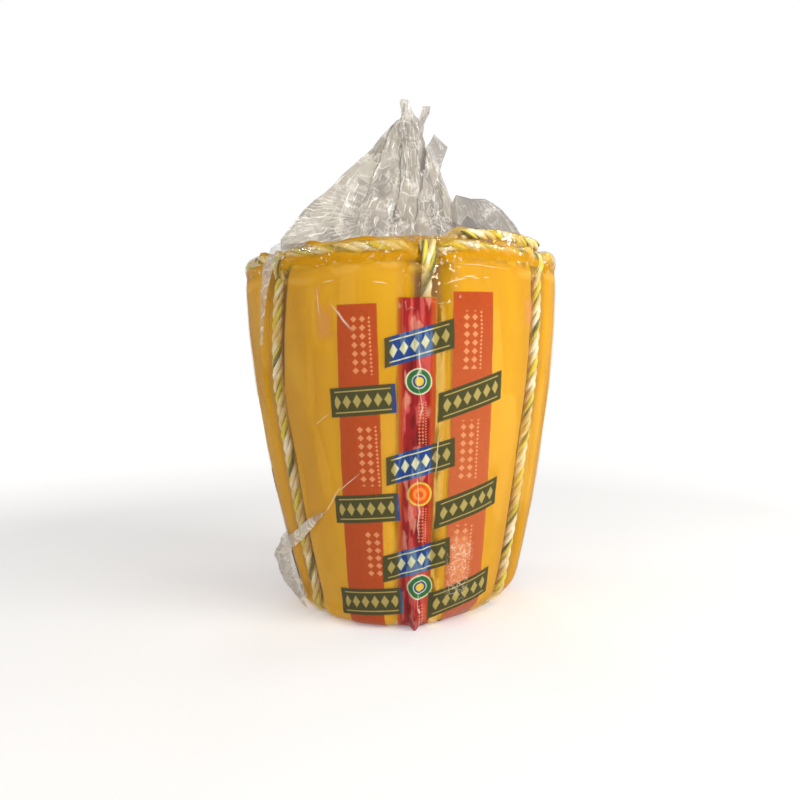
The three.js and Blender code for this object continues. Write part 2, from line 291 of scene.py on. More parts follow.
class Shade:
    """A shader socket that takes part in sums; node() adds any other node to the same material."""

    def __init__(self, tree, socket=None):
        self.tree = tree
        self.socket = socket

    def node(self, kind, settings=None, inputs=None, output=0):
        made = self.tree.nodes.new("ShaderNode" + kind)
        for name, value in (settings or {}).items():
            setattr(made, name, value)
        for name, value in (inputs or {}).items():
            if isinstance(value, Shade):
                self.tree.links.new(value.socket, made.inputs[name])
            else:
                made.inputs[name].default_value = value
        return Shade(self.tree, made.outputs[output] if made.outputs else None)

    def other(self, output):
        """Another output of the same node."""
        return Shade(self.tree, self.socket.node.outputs[output])

    def math(self, operation, *values, clamp=False):
        inputs = dict(enumerate((self, *values)))
        return self.node("Math", {"operation": operation, "use_clamp": clamp}, inputs)

    def __add__(self, other):
        return self.math("ADD", other)

    __radd__ = __add__

    def __sub__(self, other):
        return self.math("SUBTRACT", other)

    def __rsub__(self, other):
        return self.math("MULTIPLY_ADD", -1.0, other)

    def __mul__(self, other):
        return self.math("MULTIPLY", other)

    __rmul__ = __mul__

    def __truediv__(self, other):
        return self.math("DIVIDE", other)

    def __abs__(self):
        return self.math("ABSOLUTE")

    def axes(self):
        """The three parts of a vector."""
        first = self.node("SeparateXYZ", None, {0: self})
        return first, first.other(1), first.other(2)

    def most(self, *others):
        """The greatest of this and the others."""
        greatest = self
        for other in others:
            greatest = greatest.math("MAXIMUM", other)
        return greatest

    def clamped(self):
        return self.math("ADD", 0.0, clamp=True)

    def beyond(self, limit, soft):
        """0 under a limit and 1 over it, with an edge of some softness."""
        return ((self - limit) / soft).math("ADD", 0.5, clamp=True)

    def within(self, limit, soft):
        """1 under a limit and 0 over it."""
        return self.beyond(limit, -soft)

    def inside(self, low, high, soft):
        """1 between two limits and 0 outside them."""
        return self.beyond(low, soft) * self.within(high, soft)

    def line(self, width):
        """1 where this is 0, falling to 0 at a width from there."""
        return (1.0 - abs(self) / width).most(0.0)

    def tinted(self, first, second):
        """The first colour where this is 0 and the second where it is 1."""
        return self.node("Mix", {"data_type": "RGBA"}, {0: self, 6: first, 7: second}, 2)

    def stretched(self, scale, location=(0.0, 0.0, 0.0)):
        return self.node("Mapping", None, {"Vector": self, "Scale": scale, "Location": location})

    def cloud(self, scale, detail=2.0, roughness=0.5):
        inputs = {"Vector": self, "Scale": scale, "Detail": detail, "Roughness": roughness}
        return self.node("TexNoise", None, inputs)

    def drawn_cloud(self, rise, scale, detail=2.0, location=(0.0, 0.0, 0.0)):
        """A cloud drawn out upwards, the more the smaller its rise."""
        return self.stretched((1.0, 1.0, rise), location).cloud(scale, detail)

    def creases(self, scale):
        """0 along the edges of broken cells, rising inside them."""
        return self.node("TexVoronoi", {"feature": "DISTANCE_TO_EDGE"}, {"Vector": self, "Scale": scale})

    def raised(self, strength, distance, under=None):
        inputs = {"Height": self, "Strength": strength, "Distance": distance}
        if under is not None:
            inputs["Normal"] = under
        return self.node("Bump", None, inputs)


def greatest(masks):
    return masks[0].most(*masks[1:])


def new_finish(name):
    """An empty material, and a Shade that starts its nodes."""
    finish = bpy.data.materials.new(name)
    finish.use_nodes = True
    finish.node_tree.nodes.clear()
    return finish, Shade(finish.node_tree)


def surface(start, **inputs):
    """The Principled surface of a material; its sockets are named with _ for each space."""
    sockets = {name.replace("_", " "): value for name, value in inputs.items()}
    shader = start.node("BsdfPrincipled", None, sockets)
    start.node("OutputMaterial", None, {"Surface": shader})


RIND_LIGHT = tint(228, 168, 2)
RIND_DEEP = tint(206, 146, 2)
RIND_SHADE_AND_LIP = tint(150, 92, 2)
RIND_BLOOM = tint(226, 174, 34)

rind, start = new_finish("waxy_rind")
place = start.node("TexCoord", None, None, "Object")
groove_shade_and_lip = start.node("Attribute", {"attribute_name": "groove_shade_and_lip"}, None, "Fac")
mottle = place.drawn_cloud(0.35, 22.0, 3.0)
bloom = place.drawn_cloud(0.6, 34.0, 4.0, (0.3, 0.1, 0.0))
colour = mottle.beyond(0.5, 0.35).tinted(RIND_LIGHT, RIND_DEEP)
colour = (bloom.beyond(0.6, 0.2) * 0.45).tinted(colour, RIND_BLOOM)
# Painted shade: the rind is darkened in the grooves and a little on the base; the same colour darkens the
# crest of the lip.
colour = groove_shade_and_lip.tinted(colour, RIND_SHADE_AND_LIP)
grain = place.cloud(160.0)
dents = place.drawn_cloud(0.25, 30.0, 1.0)
normal = grain.raised(0.02, 0.0003, dents.raised(0.35, 0.0020))
surface(
    start,
    Base_Color=colour,
    Roughness=0.5 - mottle * 0.12,
    Specular_IOR_Level=0.15,
    Coat_Weight=0.05,
    Coat_Roughness=0.12,
    Normal=normal,
)

CHEESE_COLUMNS = 252
CHEESE_ROWS = 190

cheese_profile = even_profile(CHEESE_ROWS)
cheese_normals = profile_normals(cheese_profile)


def scallop(angle, count, seed):
    """Uneven peaks round the cheese, from 0 to 1."""
    wave = math.sin(math.radians(angle) * count + 1.6 * noise.noise(around(angle, 4.0, seed)))
    return max(0.0, 0.5 + 0.5 * wave + 0.6 * noise.noise(around(angle, 6.0, seed + 3.0)))


def cheese_depth(radius, height, angle, gaps):
    cut = min(1.0, sum(dip(gap, GROOVE_REACH) for gap in gaps))
    swell = lobe_swell(height, gaps)
    ring = RING_GROOVE_DEPTH * dip(math.dist((radius, height), LIP), RING_GROOVE_REACH)
    depth = (GROOVE_DEPTH * cut + LOBE_ROUNDING * swell) * on_dome(radius, height)
    if height > SHOULDER_HEIGHT and radius > SHOULDER_RADIUS:
        lip = dip(math.dist((radius, height), LIP_PLACE), LIP_REACH)
        peak = dip(math.dist((radius, height), PEAK_PLACE), PEAK_REACH)
        depth -= LIP_RISE * lip * (0.15 + 0.85 * scallop(angle, 19, 1.0)) * (1.0 - 0.8 * cut)
        depth -= PEAK_RISE * peak * scallop(angle, 13, 5.0) * (1.0 - cut)
    return depth + ring, cut


def cheese_corner(across, up):
    row = round(up * CHEESE_ROWS)
    radius, height = cheese_profile[row]
    angle, lobe = lobe_place(across % 1.0, height)
    depth, _ = cheese_depth(radius, height, angle, groove_gaps(radius, height, angle, lobe))
    out = cheese_normals[row]
    away = -depth - RIND_SET_BACK
    spot = worn_place(angle, radius + out.x * away, height + out.y * away)
    lift = 0.0005 * noise.noise(spot * 38.0) * min(1.0, radius / 0.02)
    return spot + Vector((spot.x, spot.y, 0.0)).normalized() * lift


cheese_shape = add_grid(bmesh.new(), CHEESE_COLUMNS, CHEESE_ROWS, cheese_corner)
groove_shade_and_lip_layer = cheese_shape.verts.layers.float.new("groove_shade_and_lip")
# This layer holds the painted shade of the grooves, weaker on the base, and the darker tone at the crest of
# the lip.
for corner in cheese_shape.verts:
    depth = max(dip(gap, GROOVE_REACH * 0.8) for gap in all_gaps(corner.co))
    radius = math.hypot(corner.co.x, corner.co.y)
    lip = dip(math.hypot(radius - LIP_PLACE[0], corner.co.z - LIP_PLACE[1] - 0.003), 0.005)
    corner[groove_shade_and_lip_layer] = max(0.55 * depth, 0.5 * lip) if corner.co.z > 0.004 else 0.3 * depth
cheese = make_piece(cheese_shape, "cheese_body", [rind])
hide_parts("cheese")


# ---- Twine ----
# Three-ply laid twine of flat polypropylene strips, two plies cream and one half yellow, half dark olive.
# One ring lies round the shoulder, beside a short second strand; six falls run from hitches on it down the
# grooves to a small ring below.

CORD_RADIUS = 0.0034
RING_CORD_RADIUS = 0.0030
CORD_LIFT = 0.0042
CORD_PITCH = 0.024
PLY_SIDES = 12
PLY_STEP = 0.0021
RING_STEPS = 240
RING_RADIUS = 0.1052
RING_HEIGHT = 0.2322
RING_PULL = (0.0044, 0.0054)
RING_SAG = 0.0026
RING_SAG_ANGLE = 37.0
RING_SAG_SPREAD = 17.0
FALL_TOP = 0.231
FOOT_RING_STEPS = 30
FOOT_RING_RADIUS = 0.009
FOOT_RING_HEIGHT = GROOVE_DEPTH - CORD_LIFT
HITCH_STEPS = 32
HITCH_START = -82.0
HITCH_ENDS = ((-1.0, 205.0), (1.0, 188.0))
HITCH_LEANS = (0.0012, 0.0034)
HITCH_REACH = 0.0050
HITCH_HEIGHTENING = 1.1
HITCH_DROP = 0.004
HITCH_TUCK = 0.3
HITCH_CORD_RADIUS = 0.0026
HITCH_PITCH = 0.034
FRONT_HITCH = 1.25
STRAND = {"start": 21.0, "end": 66.0, "radius": 0.0976, "height": 0.2406, "sway": 0.0014, "steps": 48}

CREAM = tint(246, 224, 152)
CREAM_HIGHLIGHT = tint(254, 247, 212)
CREAM_DIM = tint(224, 190, 106)
YELLOW = tint(232, 214, 58)
OLIVE = tint(108, 100, 44)


def ply_surface(start, colour, fibres):
    """Flat plastic fibres, glossier where they stand up."""
    surface(
        start,
        Base_Color=colour,
        Roughness=0.62 - fibres * 0.25,
        Coat_Weight=0.2,
        Coat_Roughness=0.15,
        Normal=fibres.raised(0.8, 0.0006),
    )


cream_ply, start = new_finish("cream_ply")
strip = start.node("TexCoord", None, None, "UV")
place = start.node("TexCoord", None, None, "Object")
fibres = strip.stretched((7.0, 0.35, 1.0)).cloud(4.0, 2.0, 0.6)
shift = place.cloud(55.0)
colour = (fibres * 0.6 + shift * 0.5).beyond(0.54, 0.22).tinted(CREAM_DIM, CREAM)
# Pale cream on the raised fibres is a painted highlight.
colour = (shift.beyond(0.52, 0.12) * fibres.beyond(0.42, 0.2)).tinted(colour, CREAM_HIGHLIGHT)
ply_surface(start, colour, fibres)

two_tone_ply, start = new_finish("two_tone_ply")
strip = start.node("TexCoord", None, None, "UV")
across, along, _ = strip.axes()
side = (across * 6.2832 + along * 1.7).math("SINE")
fibres = strip.stretched((9.0, 0.35, 1.0)).cloud(4.0, 3.0, 0.7)
colour = (side + fibres * 0.8).beyond(1.05, 0.5).tinted(YELLOW, OLIVE)
# Pale cream on the raised fibres is a painted highlight.
colour = (fibres.beyond(0.6, 0.15) * 0.5).tinted(colour, CREAM_HIGHLIGHT)
ply_surface(start, colour, fibres)


def path_frames(spots, out):
    """For each point of a path: the point, the direction away from the cheese and the one across."""
    frames = []
    last = len(spots) - 1
    for index, spot in enumerate(spots):
        along = (spots[min(last, index + 1)] - spots[max(0, index - 1)]).normalized()
        away = (out[index] - along * out[index].dot(along)).normalized()
        frames.append((spot, away, along.cross(away)))
    return frames


def resampled(spots, out, closed=False):
    """The path at even steps of about one ply step, with its directions outwards."""
    if closed:
        spots = spots + spots[:1]
        out = out + out[:1]
    marks = running_lengths(spots)
    count = max(6, round(marks[-1] / PLY_STEP))
    new_spots = []
    new_out = []
    for step in range(count + 1):
        part, share = place_along(marks, marks[-1] * step / count)
        new_spots.append(spots[part].lerp(spots[part + 1], share))
        new_out.append(out[part].lerp(out[part + 1], share))
    return new_spots, new_out, marks[-1]


def add_cord(shape, spots, out, radius=CORD_RADIUS, closed=False, phase=0.0, pitch=CORD_PITCH):
    """Three plies laid round one path, as closed tubes that taper into their cut ends."""
    spots, out, length = resampled(spots, out, closed)
    frames = path_frames(spots, out)
    if closed:
        frames[-1] = frames[0]
    last = len(frames) - 1
    turns = max(1, round(length / pitch)) if closed else length / pitch
    ply_radius = radius / (1 + 2 / math.sqrt(3))
    reach = radius - ply_radius

    for ply in range(3):
        middles = []
        for index, (spot, away, across) in enumerate(frames):
            angle = phase + 2 * math.pi * (turns * index / last + ply / 3)
            spread = away * math.cos(angle) + across * math.sin(angle)
            loose = 1.0 + 0.16 * noise.noise(spot * 60.0 + Vector((ply, phase, 0.0)))
            middles.append((spot + spread * reach * min(1.05, loose), spread))

        def ply_corner(around_ply, along_ply):
            index = round(along_ply * last)
            middle, spread = middles[index]
            after = middles[(index + 1) % last][0] if closed else middles[min(last, index + 1)][0]
            before = middles[(index - 1) % last][0] if closed else middles[max(0, index - 1)][0]
            side = (after - before).normalized().cross(spread)
            turn = 2 * math.pi * around_ply
            uneven = noise.noise(middle * 75.0 + Vector((0.0, 7.0 * ply, phase)))
            wide, high = (1.12 + 0.30 * uneven) * ply_radius, (1.0 + 0.12 * uneven) * ply_radius
            if not closed and index in (0, last):
                wide = high = 0.0
            strand = 0.06 * math.cos(5 * turn)
            offset = spread * math.cos(turn) * high + side * math.sin(turn) * wide
            return middle + offset * (1.0 + strand)

        slot = 1 if ply == 2 else 0
        add_grid(shape, PLY_SIDES, last, ply_corner, slot, length * 100)
    return shape


def ring_pull(angle):
    """How far the falls draw the ring in and down, from 0 to 1."""
    turns = [wrapped(angle - highs[0]) for highs in GROOVE_ANGLES]
    return max(dip(math.radians(turn) * RING_RADIUS, GROOVE_REACH) for turn in turns)


def ring_middle(angle):
    """The radius and height of the ring's middle at one angle, lower where it sags over one front lobe."""
    pull = ring_pull(angle)
    sag = RING_SAG * dip(wrapped(angle - RING_SAG_ANGLE), RING_SAG_SPREAD)
    return RING_RADIUS - RING_PULL[0] * pull + 0.3 * sag, RING_HEIGHT - RING_PULL[1] * pull - sag


def ring_spot(angle):
    return around(angle, *ring_middle(angle))


twine_finishes = [cream_ply, two_tone_ply]

ring_angles = [360.0 * step / RING_STEPS for step in range(RING_STEPS)]
ring_out = [around(angle, 0.8, 0.6) for angle in ring_angles]
ring_path = [ring_spot(angle) for angle in ring_angles]
ring_shape = add_cord(bmesh.new(), ring_path, ring_out, RING_CORD_RADIUS, closed=True)
ring = make_piece(ring_shape, "ring_cord", twine_finishes)
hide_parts("twine_ring")


def fall_path(index):
    """From the small ring below, out along the base and up the groove to the hitch."""
    reach = FOOT_RING_RADIUS + CORD_RADIUS
    spots = [around(groove_angle(index, 0.0), reach, FOOT_RING_HEIGHT)]
    out = [Vector((0.0, 0.0, -1.0))]
    for row in range(0, CHEESE_ROWS + 1, 2):
        radius, height = cheese_profile[row]
        if radius < reach + 0.001 or height > FALL_TOP:
            continue
        angle = groove_angle(index, height)
        depth, _ = cheese_depth(radius, height, angle, [0.0, GROOVE_REACH])
        normal = cheese_normals[row]
        away = CORD_LIFT - depth
        spots.append(worn_place(angle, radius + normal.x * away, height + normal.y * away))
        out.append(around(angle, normal.x, normal.y))
    return spots, out


for index in range(LOBES):
    spots, out = fall_path(index)
    fall_shape = add_cord(bmesh.new(), spots, out, phase=1.3 * index)
    fall = make_piece(fall_shape, f"fall_cord_{index + 1}", twine_finishes)
    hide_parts(f"twine_fall_{index + 1}")

foot_angles = [360.0 * step / FOOT_RING_STEPS for step in range(FOOT_RING_STEPS)]
foot_path = [around(angle, FOOT_RING_RADIUS, FOOT_RING_HEIGHT) for angle in foot_angles]
foot_out = [around(angle, 1.0, 0.0) for angle in foot_angles]
foot_shape = add_cord(bmesh.new(), foot_path, foot_out, closed=True)
foot_ring = make_piece(foot_shape, "foot_ring_cord", twine_finishes)
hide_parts("twine_foot_ring")

strand_path = []
strand_out = []
for step in range(STRAND["steps"] + 1):
    share = step / STRAND["steps"]
    angle = blend(STRAND["start"], STRAND["end"], share)
    sway = STRAND["sway"] * math.cos(2 * math.pi * share)
    strand_path.append(around(angle, STRAND["radius"] + sway, STRAND["height"] - sway / 2))
    strand_out.append(around(angle, 0.5, 0.8))
strand_shape = add_cord(bmesh.new(), strand_path, strand_out, phase=2.0)
strand = make_piece(strand_shape, "doubled_cord", twine_finishes)
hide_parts("twine_strand")


def hitch_turn(angle, side, end, big):
    """One turn of a hitch over the ring, from below it to its tucked end, and its directions outwards."""
    middle_radius = RING_RADIUS - RING_PULL[0]
    middle_height = RING_HEIGHT - RING_PULL[1]
    spots = []
    out = []
    for step in range(HITCH_STEPS + 1):
        share = step / HITCH_STEPS
        turn = math.radians(blend(HITCH_START, end, share))
        lean = math.degrees(side * blend(*HITCH_LEANS, share) / middle_radius)
        low = (1.0 - share) ** 3
        away = HITCH_REACH * big * math.cos(turn) * (1.0 - HITCH_TUCK * low)
        rise = HITCH_REACH * big * HITCH_HEIGHTENING * math.sin(turn) - HITCH_DROP * low
        spots.append(around(angle + lean, middle_radius + away, middle_height + rise))
        out.append(around(angle, math.cos(turn), math.sin(turn)))
    return spots, out


# Each hitch is the fall's cord taken over the ring in two turns side by side and tucked in behind it.
for index in range(LOBES):
    angle = groove_angle(index, GROOVE_LEVELS[0])
    big = FRONT_HITCH if index == FRONT_GROOVE else 1.0
    hitch_shape = bmesh.new()
    for side, end in HITCH_ENDS:
        spots, out = hitch_turn(angle, side, end, big)
        add_cord(hitch_shape, spots, out, HITCH_CORD_RADIUS * big, pitch=HITCH_PITCH, phase=side)
    hitch = make_piece(hitch_shape, f"hitch_{index + 1}", twine_finishes)
    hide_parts(f"twine_knot_{index + 1}")


# ---- Clinging film ----
# The heat-shrunk clear film of the bag, drawn tight over lobes and twine and bridging the grooves.
# It is printed with lengthwise bands, slanted bars and plain roundels; over the groove the red is painted
# darker, as shade from the groove behind it.

SKIN_COLUMNS = 366
SKIN_ROWS = 236
SKIN_GAP = 0.0001
FILM_OVER_CORD = 0.0005
FRONT_REACH = 20.0
CORD_BRIDGE = 0.0095
STRAND_FOOT = 0.236
KNOT_FOOT = 0.21
KNOT_REACH = 0.013
KNOT_BRIDGE = 0.014
KNOT_RISE = 0.0072
FOOT_FIN_RISE = 0.0042
VALLEY_DEPTH = 0.0028
FRONT_VALLEY = 0.45
VALLEY_PLACE = 0.0082
VALLEY_REACH = 0.0048

skin_profile = even_profile(SKIN_ROWS)
skin_normals = profile_normals(skin_profile)


# The drift of the crumples is drawn at random, so it is seeded.
CRUMPLE_SEED = 1
noise.seed_set(CRUMPLE_SEED)


def triangle_wave(value):
    return abs(2.0 * (value - math.floor(value)) - 1.0)


def crumple(spot, size, seed, directions=4):
    """Flat facets between sharp creases, from -0.5 to 0.5, about one size apart."""
    drift = noise.noise_vector(spot / (size * 2.2) + Vector((seed, 0.0, 0.0)))
    total = 0.0
    for index in range(directions):
        turn = seed * 1.7 + index * math.pi / directions + 0.5 * math.sin(seed + index * 2.3)
        lean = 0.6 * math.sin(seed * 3.1 + index * 1.9)
        facing = Vector((math.cos(turn), lean, math.sin(turn))).normalized()
        strength = 0.55 + 0.45 * noise.noise(spot / (size * 3.0) + Vector((0.0, seed + index, 0.0)))
        wave = triangle_wave(facing.dot(spot) / size + 0.9 * drift[index % 3] + index * 0.37)
        total += strength * (wave - 0.5)
    return total / directions


def lift_over(middle, reach, spread, spot, normal):
    """How far a point of the skin is lifted along its normal to pass over a cord at middle."""
    gap = Vector((middle[0] - spot[0], middle[1] - spot[1]))
    out = gap.dot(normal)
    side = abs(gap.x * -normal.y + gap.y * normal.x)
    if out < -0.004:
        return 0.0
    return max(0.0, out + reach) * dip(side, spread)


def skin_corner(across, up):
    row = round(up * SKIN_ROWS)
    spot = skin_profile[row]
    radius, height = spot
    angle, lobe = lobe_place(across % 1.0, height)
    gaps = groove_gaps(radius, height, angle, lobe)
    near = min(gaps, key=abs)
    normal = skin_normals[row]
    swell = lobe_swell(height, gaps) * on_dome(radius, height)
    front = abs(wrapped(angle - groove_angle(FRONT_GROOVE, height))) < FRONT_REACH
    valley = VALLEY_DEPTH * (FRONT_VALLEY if front else 1.0) * on_dome(radius, height)
    valley *= min(1.0, height / GROOVE_REACH)
    depth = LOBE_ROUNDING * swell + valley * dip(abs(near) - VALLEY_PLACE, VALLEY_REACH)
    middle = ring_middle(angle)
    over = CORD_RADIUS + FILM_OVER_CORD
    rise = lift_over(middle, over, CORD_BRIDGE, spot, normal) if height > SHOULDER_HEIGHT else 0.0
    if height > KNOT_FOOT:
        knot = dip(near, KNOT_REACH)
        rise = max(rise, knot * lift_over(middle, KNOT_RISE, KNOT_BRIDGE, spot, normal))
    if radius > SHOULDER_RADIUS and height > STRAND_FOOT:
        in_strand = dip(max(0.0, STRAND["start"] - angle, angle - STRAND["end"]), 8.0)
        strand_middle = (STRAND["radius"], STRAND["height"])
        rise = max(rise, in_strand * lift_over(strand_middle, over, CORD_BRIDGE, spot, normal))
    if front and height < 0.05:
        fin = dip(near + 0.0005, 0.0034) * dip(height, 0.035) * held((height + 0.004) / 0.006)
        rise += FOOT_FIN_RISE * fin if radius > 0.06 else 0.0
    away = max(rise, -depth) if rise > 0.0 else -depth
    place = worn_place(angle, radius + normal.x * away, height + normal.y * away)
    flat = min(1.0, radius / 0.03)
    wrinkle = 0.00030 * crumple(place, 0.016, 3.0) + 0.00022 * noise.noise(place * 70.0)
    top = held((height - 0.222) / 0.01)
    wrinkle += top * 0.0016 * crumple(place, 0.013, 5.0)
    if front:
        drawn = Vector((place.x, place.y, place.z * 0.22))
        in_strip = dip(near - 0.001, 0.011)
        wrinkle += in_strip * (0.0024 * crumple(drawn, 0.0075, 8.0) + 0.0009 * crumple(place, 0.009, 2.0))
    gather = triangle_wave((place.z + 0.6 * abs(near)) / 0.011) - 0.5
    wrinkle += dip(near, 0.02) * 0.0007 * gather
    place += around(angle, normal.x, normal.y) * wrinkle * flat
    place.z = max(SKIN_GAP, place.z)
    return place


skin_shape = add_grid(bmesh.new(), SKIN_COLUMNS, SKIN_ROWS, skin_corner)
bridged_layer = skin_shape.verts.layers.float.new("bridged")
for corner in skin_shape.verts:
    corner[bridged_layer] = max(dip(abs(gap) - 0.010, 0.010) for gap in all_gaps(corner.co))

FILM_MIRROR = tint(246, 242, 232)
FILM_GLINT = tint(244, 230, 204)
FILM_GOLD = tint(230, 186, 58)
FILM_AMBER = tint(214, 152, 6)
FILM_SHEEN_AND_HAZE = tint(250, 206, 104)
FILM_SMEAR = tint(226, 160, 104)
WINE_SHADE = tint(96, 6, 12)
ROSE_HIGHLIGHT = tint(220, 92, 86)
SHADED_CRIMSON = tint(156, 16, 18)
ORANGE_RED = tint(182, 70, 12)
BAR_OLIVE = tint(72, 70, 34)
BAR_BLUE = tint(20, 62, 132)
GOLD = tint(176, 156, 84)
PALE_ORANGE = tint(224, 142, 92)
GREEN = tint(40, 110, 60)
ROUNDEL_PALE = tint(214, 214, 170)
ROUNDEL_YELLOW = tint(226, 190, 60)
ROUNDEL_RED = tint(228, 84, 10)
ROUNDEL_GLOW = tint(244, 140, 40)
PALE_BLUE_HIGHLIGHT = tint(112, 140, 168)
PALE_ROSE_SHINE = tint(228, 150, 122)

printed_film, start = new_finish("printed_film")
place = start.node("TexCoord", None, None, "Object")
right, back, height = place.axes()
radius = (right * right + back * back).math("SQRT")

PRINT_EDGE = 0.0006
BAND_EDGE = 0.35
BANDS_START = 0.199
BANDS_FALL = 0.181
LEFT_BAND = ((-20.25, -4.59, -3.16), (-7.5, -3.9, 0.4))
CENTRE_BAND = ((-1.0, -2.7, -1.3), (11.25, -0.6, -0.9))
SIDE_BAND = ((16.5, 2.6, -2.6), (30.25, 4.1, 0.6))
BRIDGED_STRIP = ((0.4, -2.4, -1.3), (9.4, -0.6, -0.9))
BAR_HALF = 0.0087
BAR_MARGIN = 0.003
RULE_EDGES = (0.0058, 0.0065)
LOZENGE_STEP = 0.0062
LOZENGE_HALVES = (0.0025, 0.0040)
CENTRE_BARS = ((0.1755, 5.6), (0.106, 5.6), (0.045, 3.8))
LEFT_BARS = ((0.143, -13.6), (0.078, -15.3), (0.018, -17.6))
SIDE_BARS = ((0.144, 23.4), (0.079, 24.2), (0.0208, 24.4))
MARK_STRETCH = 2.6
WIDE_COLUMNS = ((-0.0030, 0.0019), (0.0022, 0.0019), (0.0064, 0.0009))
FINE_COLUMNS = ((-0.0018, 0.0008), (0.0002, 0.0008), (0.0020, 0.0006))
LEFT_STOPS = ((0.158, 0.192), (0.092, 0.128), (0.034, 0.064))
SIDE_STOPS = ((0.160, 0.194), (0.094, 0.130), (0.036, 0.066))
FINE_STOPS = ((0.116, 0.142), (0.056, 0.078), (0.002, 0.016))
EDGE_STOPS = ((0.118, 0.168),)
ROUNDEL_EDGE = 0.0004
ROUNDEL_ANGLE = 5.2
GREEN_ROUNDELS = (0.1535, 0.028)
GREEN_RINGS = ((0.0070, GREEN), (0.0043, ROUNDEL_PALE), (0.0037, BAR_BLUE), (0.0026, ROUNDEL_YELLOW))
RED_ROUNDELS = (0.0865,)
RED_RINGS = ((0.0062, ROUNDEL_RED), (0.0040, ROUNDEL_GLOW), (0.0020, ROUNDEL_RED))

# The same group of bands comes three times round the pack, down every second groove.
front_turn = right.math("ARCTAN2", back * -1.0) * (180 / math.pi)
one_turn = ((front_turn + 55.0) / 120.0).math("FRACT") * 120.0 - 55.0
fall = (height - BANDS_START) / -BANDS_FALL
wave = place.cloud(60.0) * 0.8 - 0.4
turned = one_turn + wave


def band(edges, soft=BAND_EDGE):
    """A lengthwise band between two edges: the angle of each at its top, and how it bends and slopes."""
    first, second = (fall * fall * bend + fall * slope + top for top, bend, slope in edges)
    return turned.inside(first, second, soft)


def run_from(angle, turned):
    """How far round the cheese the film is from an angle, in metres."""
    return (turned - angle) * radius * math.radians(1.0)


def bars(middles, half, slope):
    """Slanted bars across one band: their cover, and the gold rules and lozenges on them."""
    covers = []
    golds = []
    for middle, angle in middles:
        run = run_from(angle, turned)
        rise = height - middle - run * slope
        covers.append(run.inside(-half, half, PRINT_EDGE) * rise.inside(-BAR_HALF, BAR_HALF, PRINT_EDGE))
        rules = abs(rise).inside(*RULE_EDGES, 0.0004)
        cell = (run / LOZENGE_STEP).math("FRACT") - 0.5
        across = abs(cell) * (LOZENGE_STEP / LOZENGE_HALVES[0])
        lozenge = (across + abs(rise) / LOZENGE_HALVES[1]).within(1.0, 0.25)
        printed = run.inside(BAR_MARGIN - half, half - BAR_MARGIN, 0.0005) * covers[-1]
        golds.append((rules + lozenge).math("MINIMUM", 1.0) * printed)
    return greatest(covers), greatest(golds)


def small_marks(turned, angle, stops, columns=WIDE_COLUMNS):
    """Columns of small plain lozenges down a band, in runs between the bars."""
    run = run_from(angle, turned)
    marks = []
    for offset, size in columns:
        cell = (height / (size * MARK_STRETCH)).math("FRACT") - 0.5
        marks.append((abs(cell) * MARK_STRETCH + abs(run - offset) / size).within(1.0, 0.35))
    return greatest(marks) * greatest([height.inside(low, high, PRINT_EDGE) for low, high in stops])


def roundels(middles):
    """Distance from the nearest middle of the discs on the centre band, in metres."""
    run = run_from(ROUNDEL_ANGLE, turned)
    rise = abs(height - middles[0])
    for middle in middles[1:]:
        rise = rise.math("MINIMUM", abs(height - middle))
    return (run * run + rise * rise).math("SQRT")


def ringed(away, ground, rings):
    """The colour of a plain disc: its ground, and its rings from the outside in."""
    colour = ground
    for reach, ring in rings:
        colour = away.within(reach, ROUNDEL_EDGE).tinted(colour, ring)
    return colour


left = band(LEFT_BAND) * height.inside(-0.01, 0.199, PRINT_EDGE)
centre = band(CENTRE_BAND) * (height + wave * 0.003).inside(-0.01, 0.202, PRINT_EDGE)
side = band(SIDE_BAND) * height.inside(-0.01, 0.205, PRINT_EDGE)
deep = centre * band(BRIDGED_STRIP, 1.2)
centre_bars, centre_gold = bars(CENTRE_BARS, half=0.0206, slope=0.26)
left_bars, left_gold = bars(LEFT_BARS, half=0.0200, slope=0.06)
side_bars, side_gold = bars(SIDE_BARS, half=0.0204, slope=0.31)
all_bars = centre_bars.most(left_bars, side_bars)
all_gold = centre_gold.most(left_gold, side_gold)
left_marks = small_marks(turned, -13.4, LEFT_STOPS)
side_marks = small_marks(turned, 22.4, SIDE_STOPS)
fine_marks = small_marks(turned, 6.2, FINE_STOPS, FINE_COLUMNS)
edge_marks = small_marks(front_turn, 73.0, EDGE_STOPS, FINE_COLUMNS)
marks = left_marks.most(side_marks, fine_marks * deep * 0.75)
green_away = roundels(GREEN_ROUNDELS)
red_away = roundels(RED_ROUNDELS)
green_disc = green_away.within(0.0078, ROUNDEL_EDGE)
red_disc = red_away.within(0.0074, ROUNDEL_EDGE)

bands = left.most(centre, side) * radius.beyond(0.055, PRINT_EDGE)
cover = bands.most(all_bars, edge_marks * 0.6, green_disc, red_disc)
drawn = place.drawn_cloud(0.10, 190.0)
# Over the groove the red is painted darker as shade; rose and pale rose streaks along its wrinkles are
# painted highlights, and wine streaks are painted shade.
strip_ink_light_and_shade = (drawn.beyond(0.55, 0.07) * 0.65).tinted(SHADED_CRIMSON, ROSE_HIGHLIGHT)
strip_ink_light_and_shade = (drawn.within(0.40, 0.06) * 0.6).tinted(strip_ink_light_and_shade, WINE_SHADE)
shine = place.drawn_cloud(0.30, 135.0, 2.0, (0.4, 0.0, 0.0))
strip_ink_light_and_shade = (shine.beyond(0.60, 0.05) * 0.55).tinted(strip_ink_light_and_shade, PALE_ROSE_SHINE)
patch = turned.inside(17.5, 27.0, 4.0) * height.inside(0.020, 0.060, 0.014)
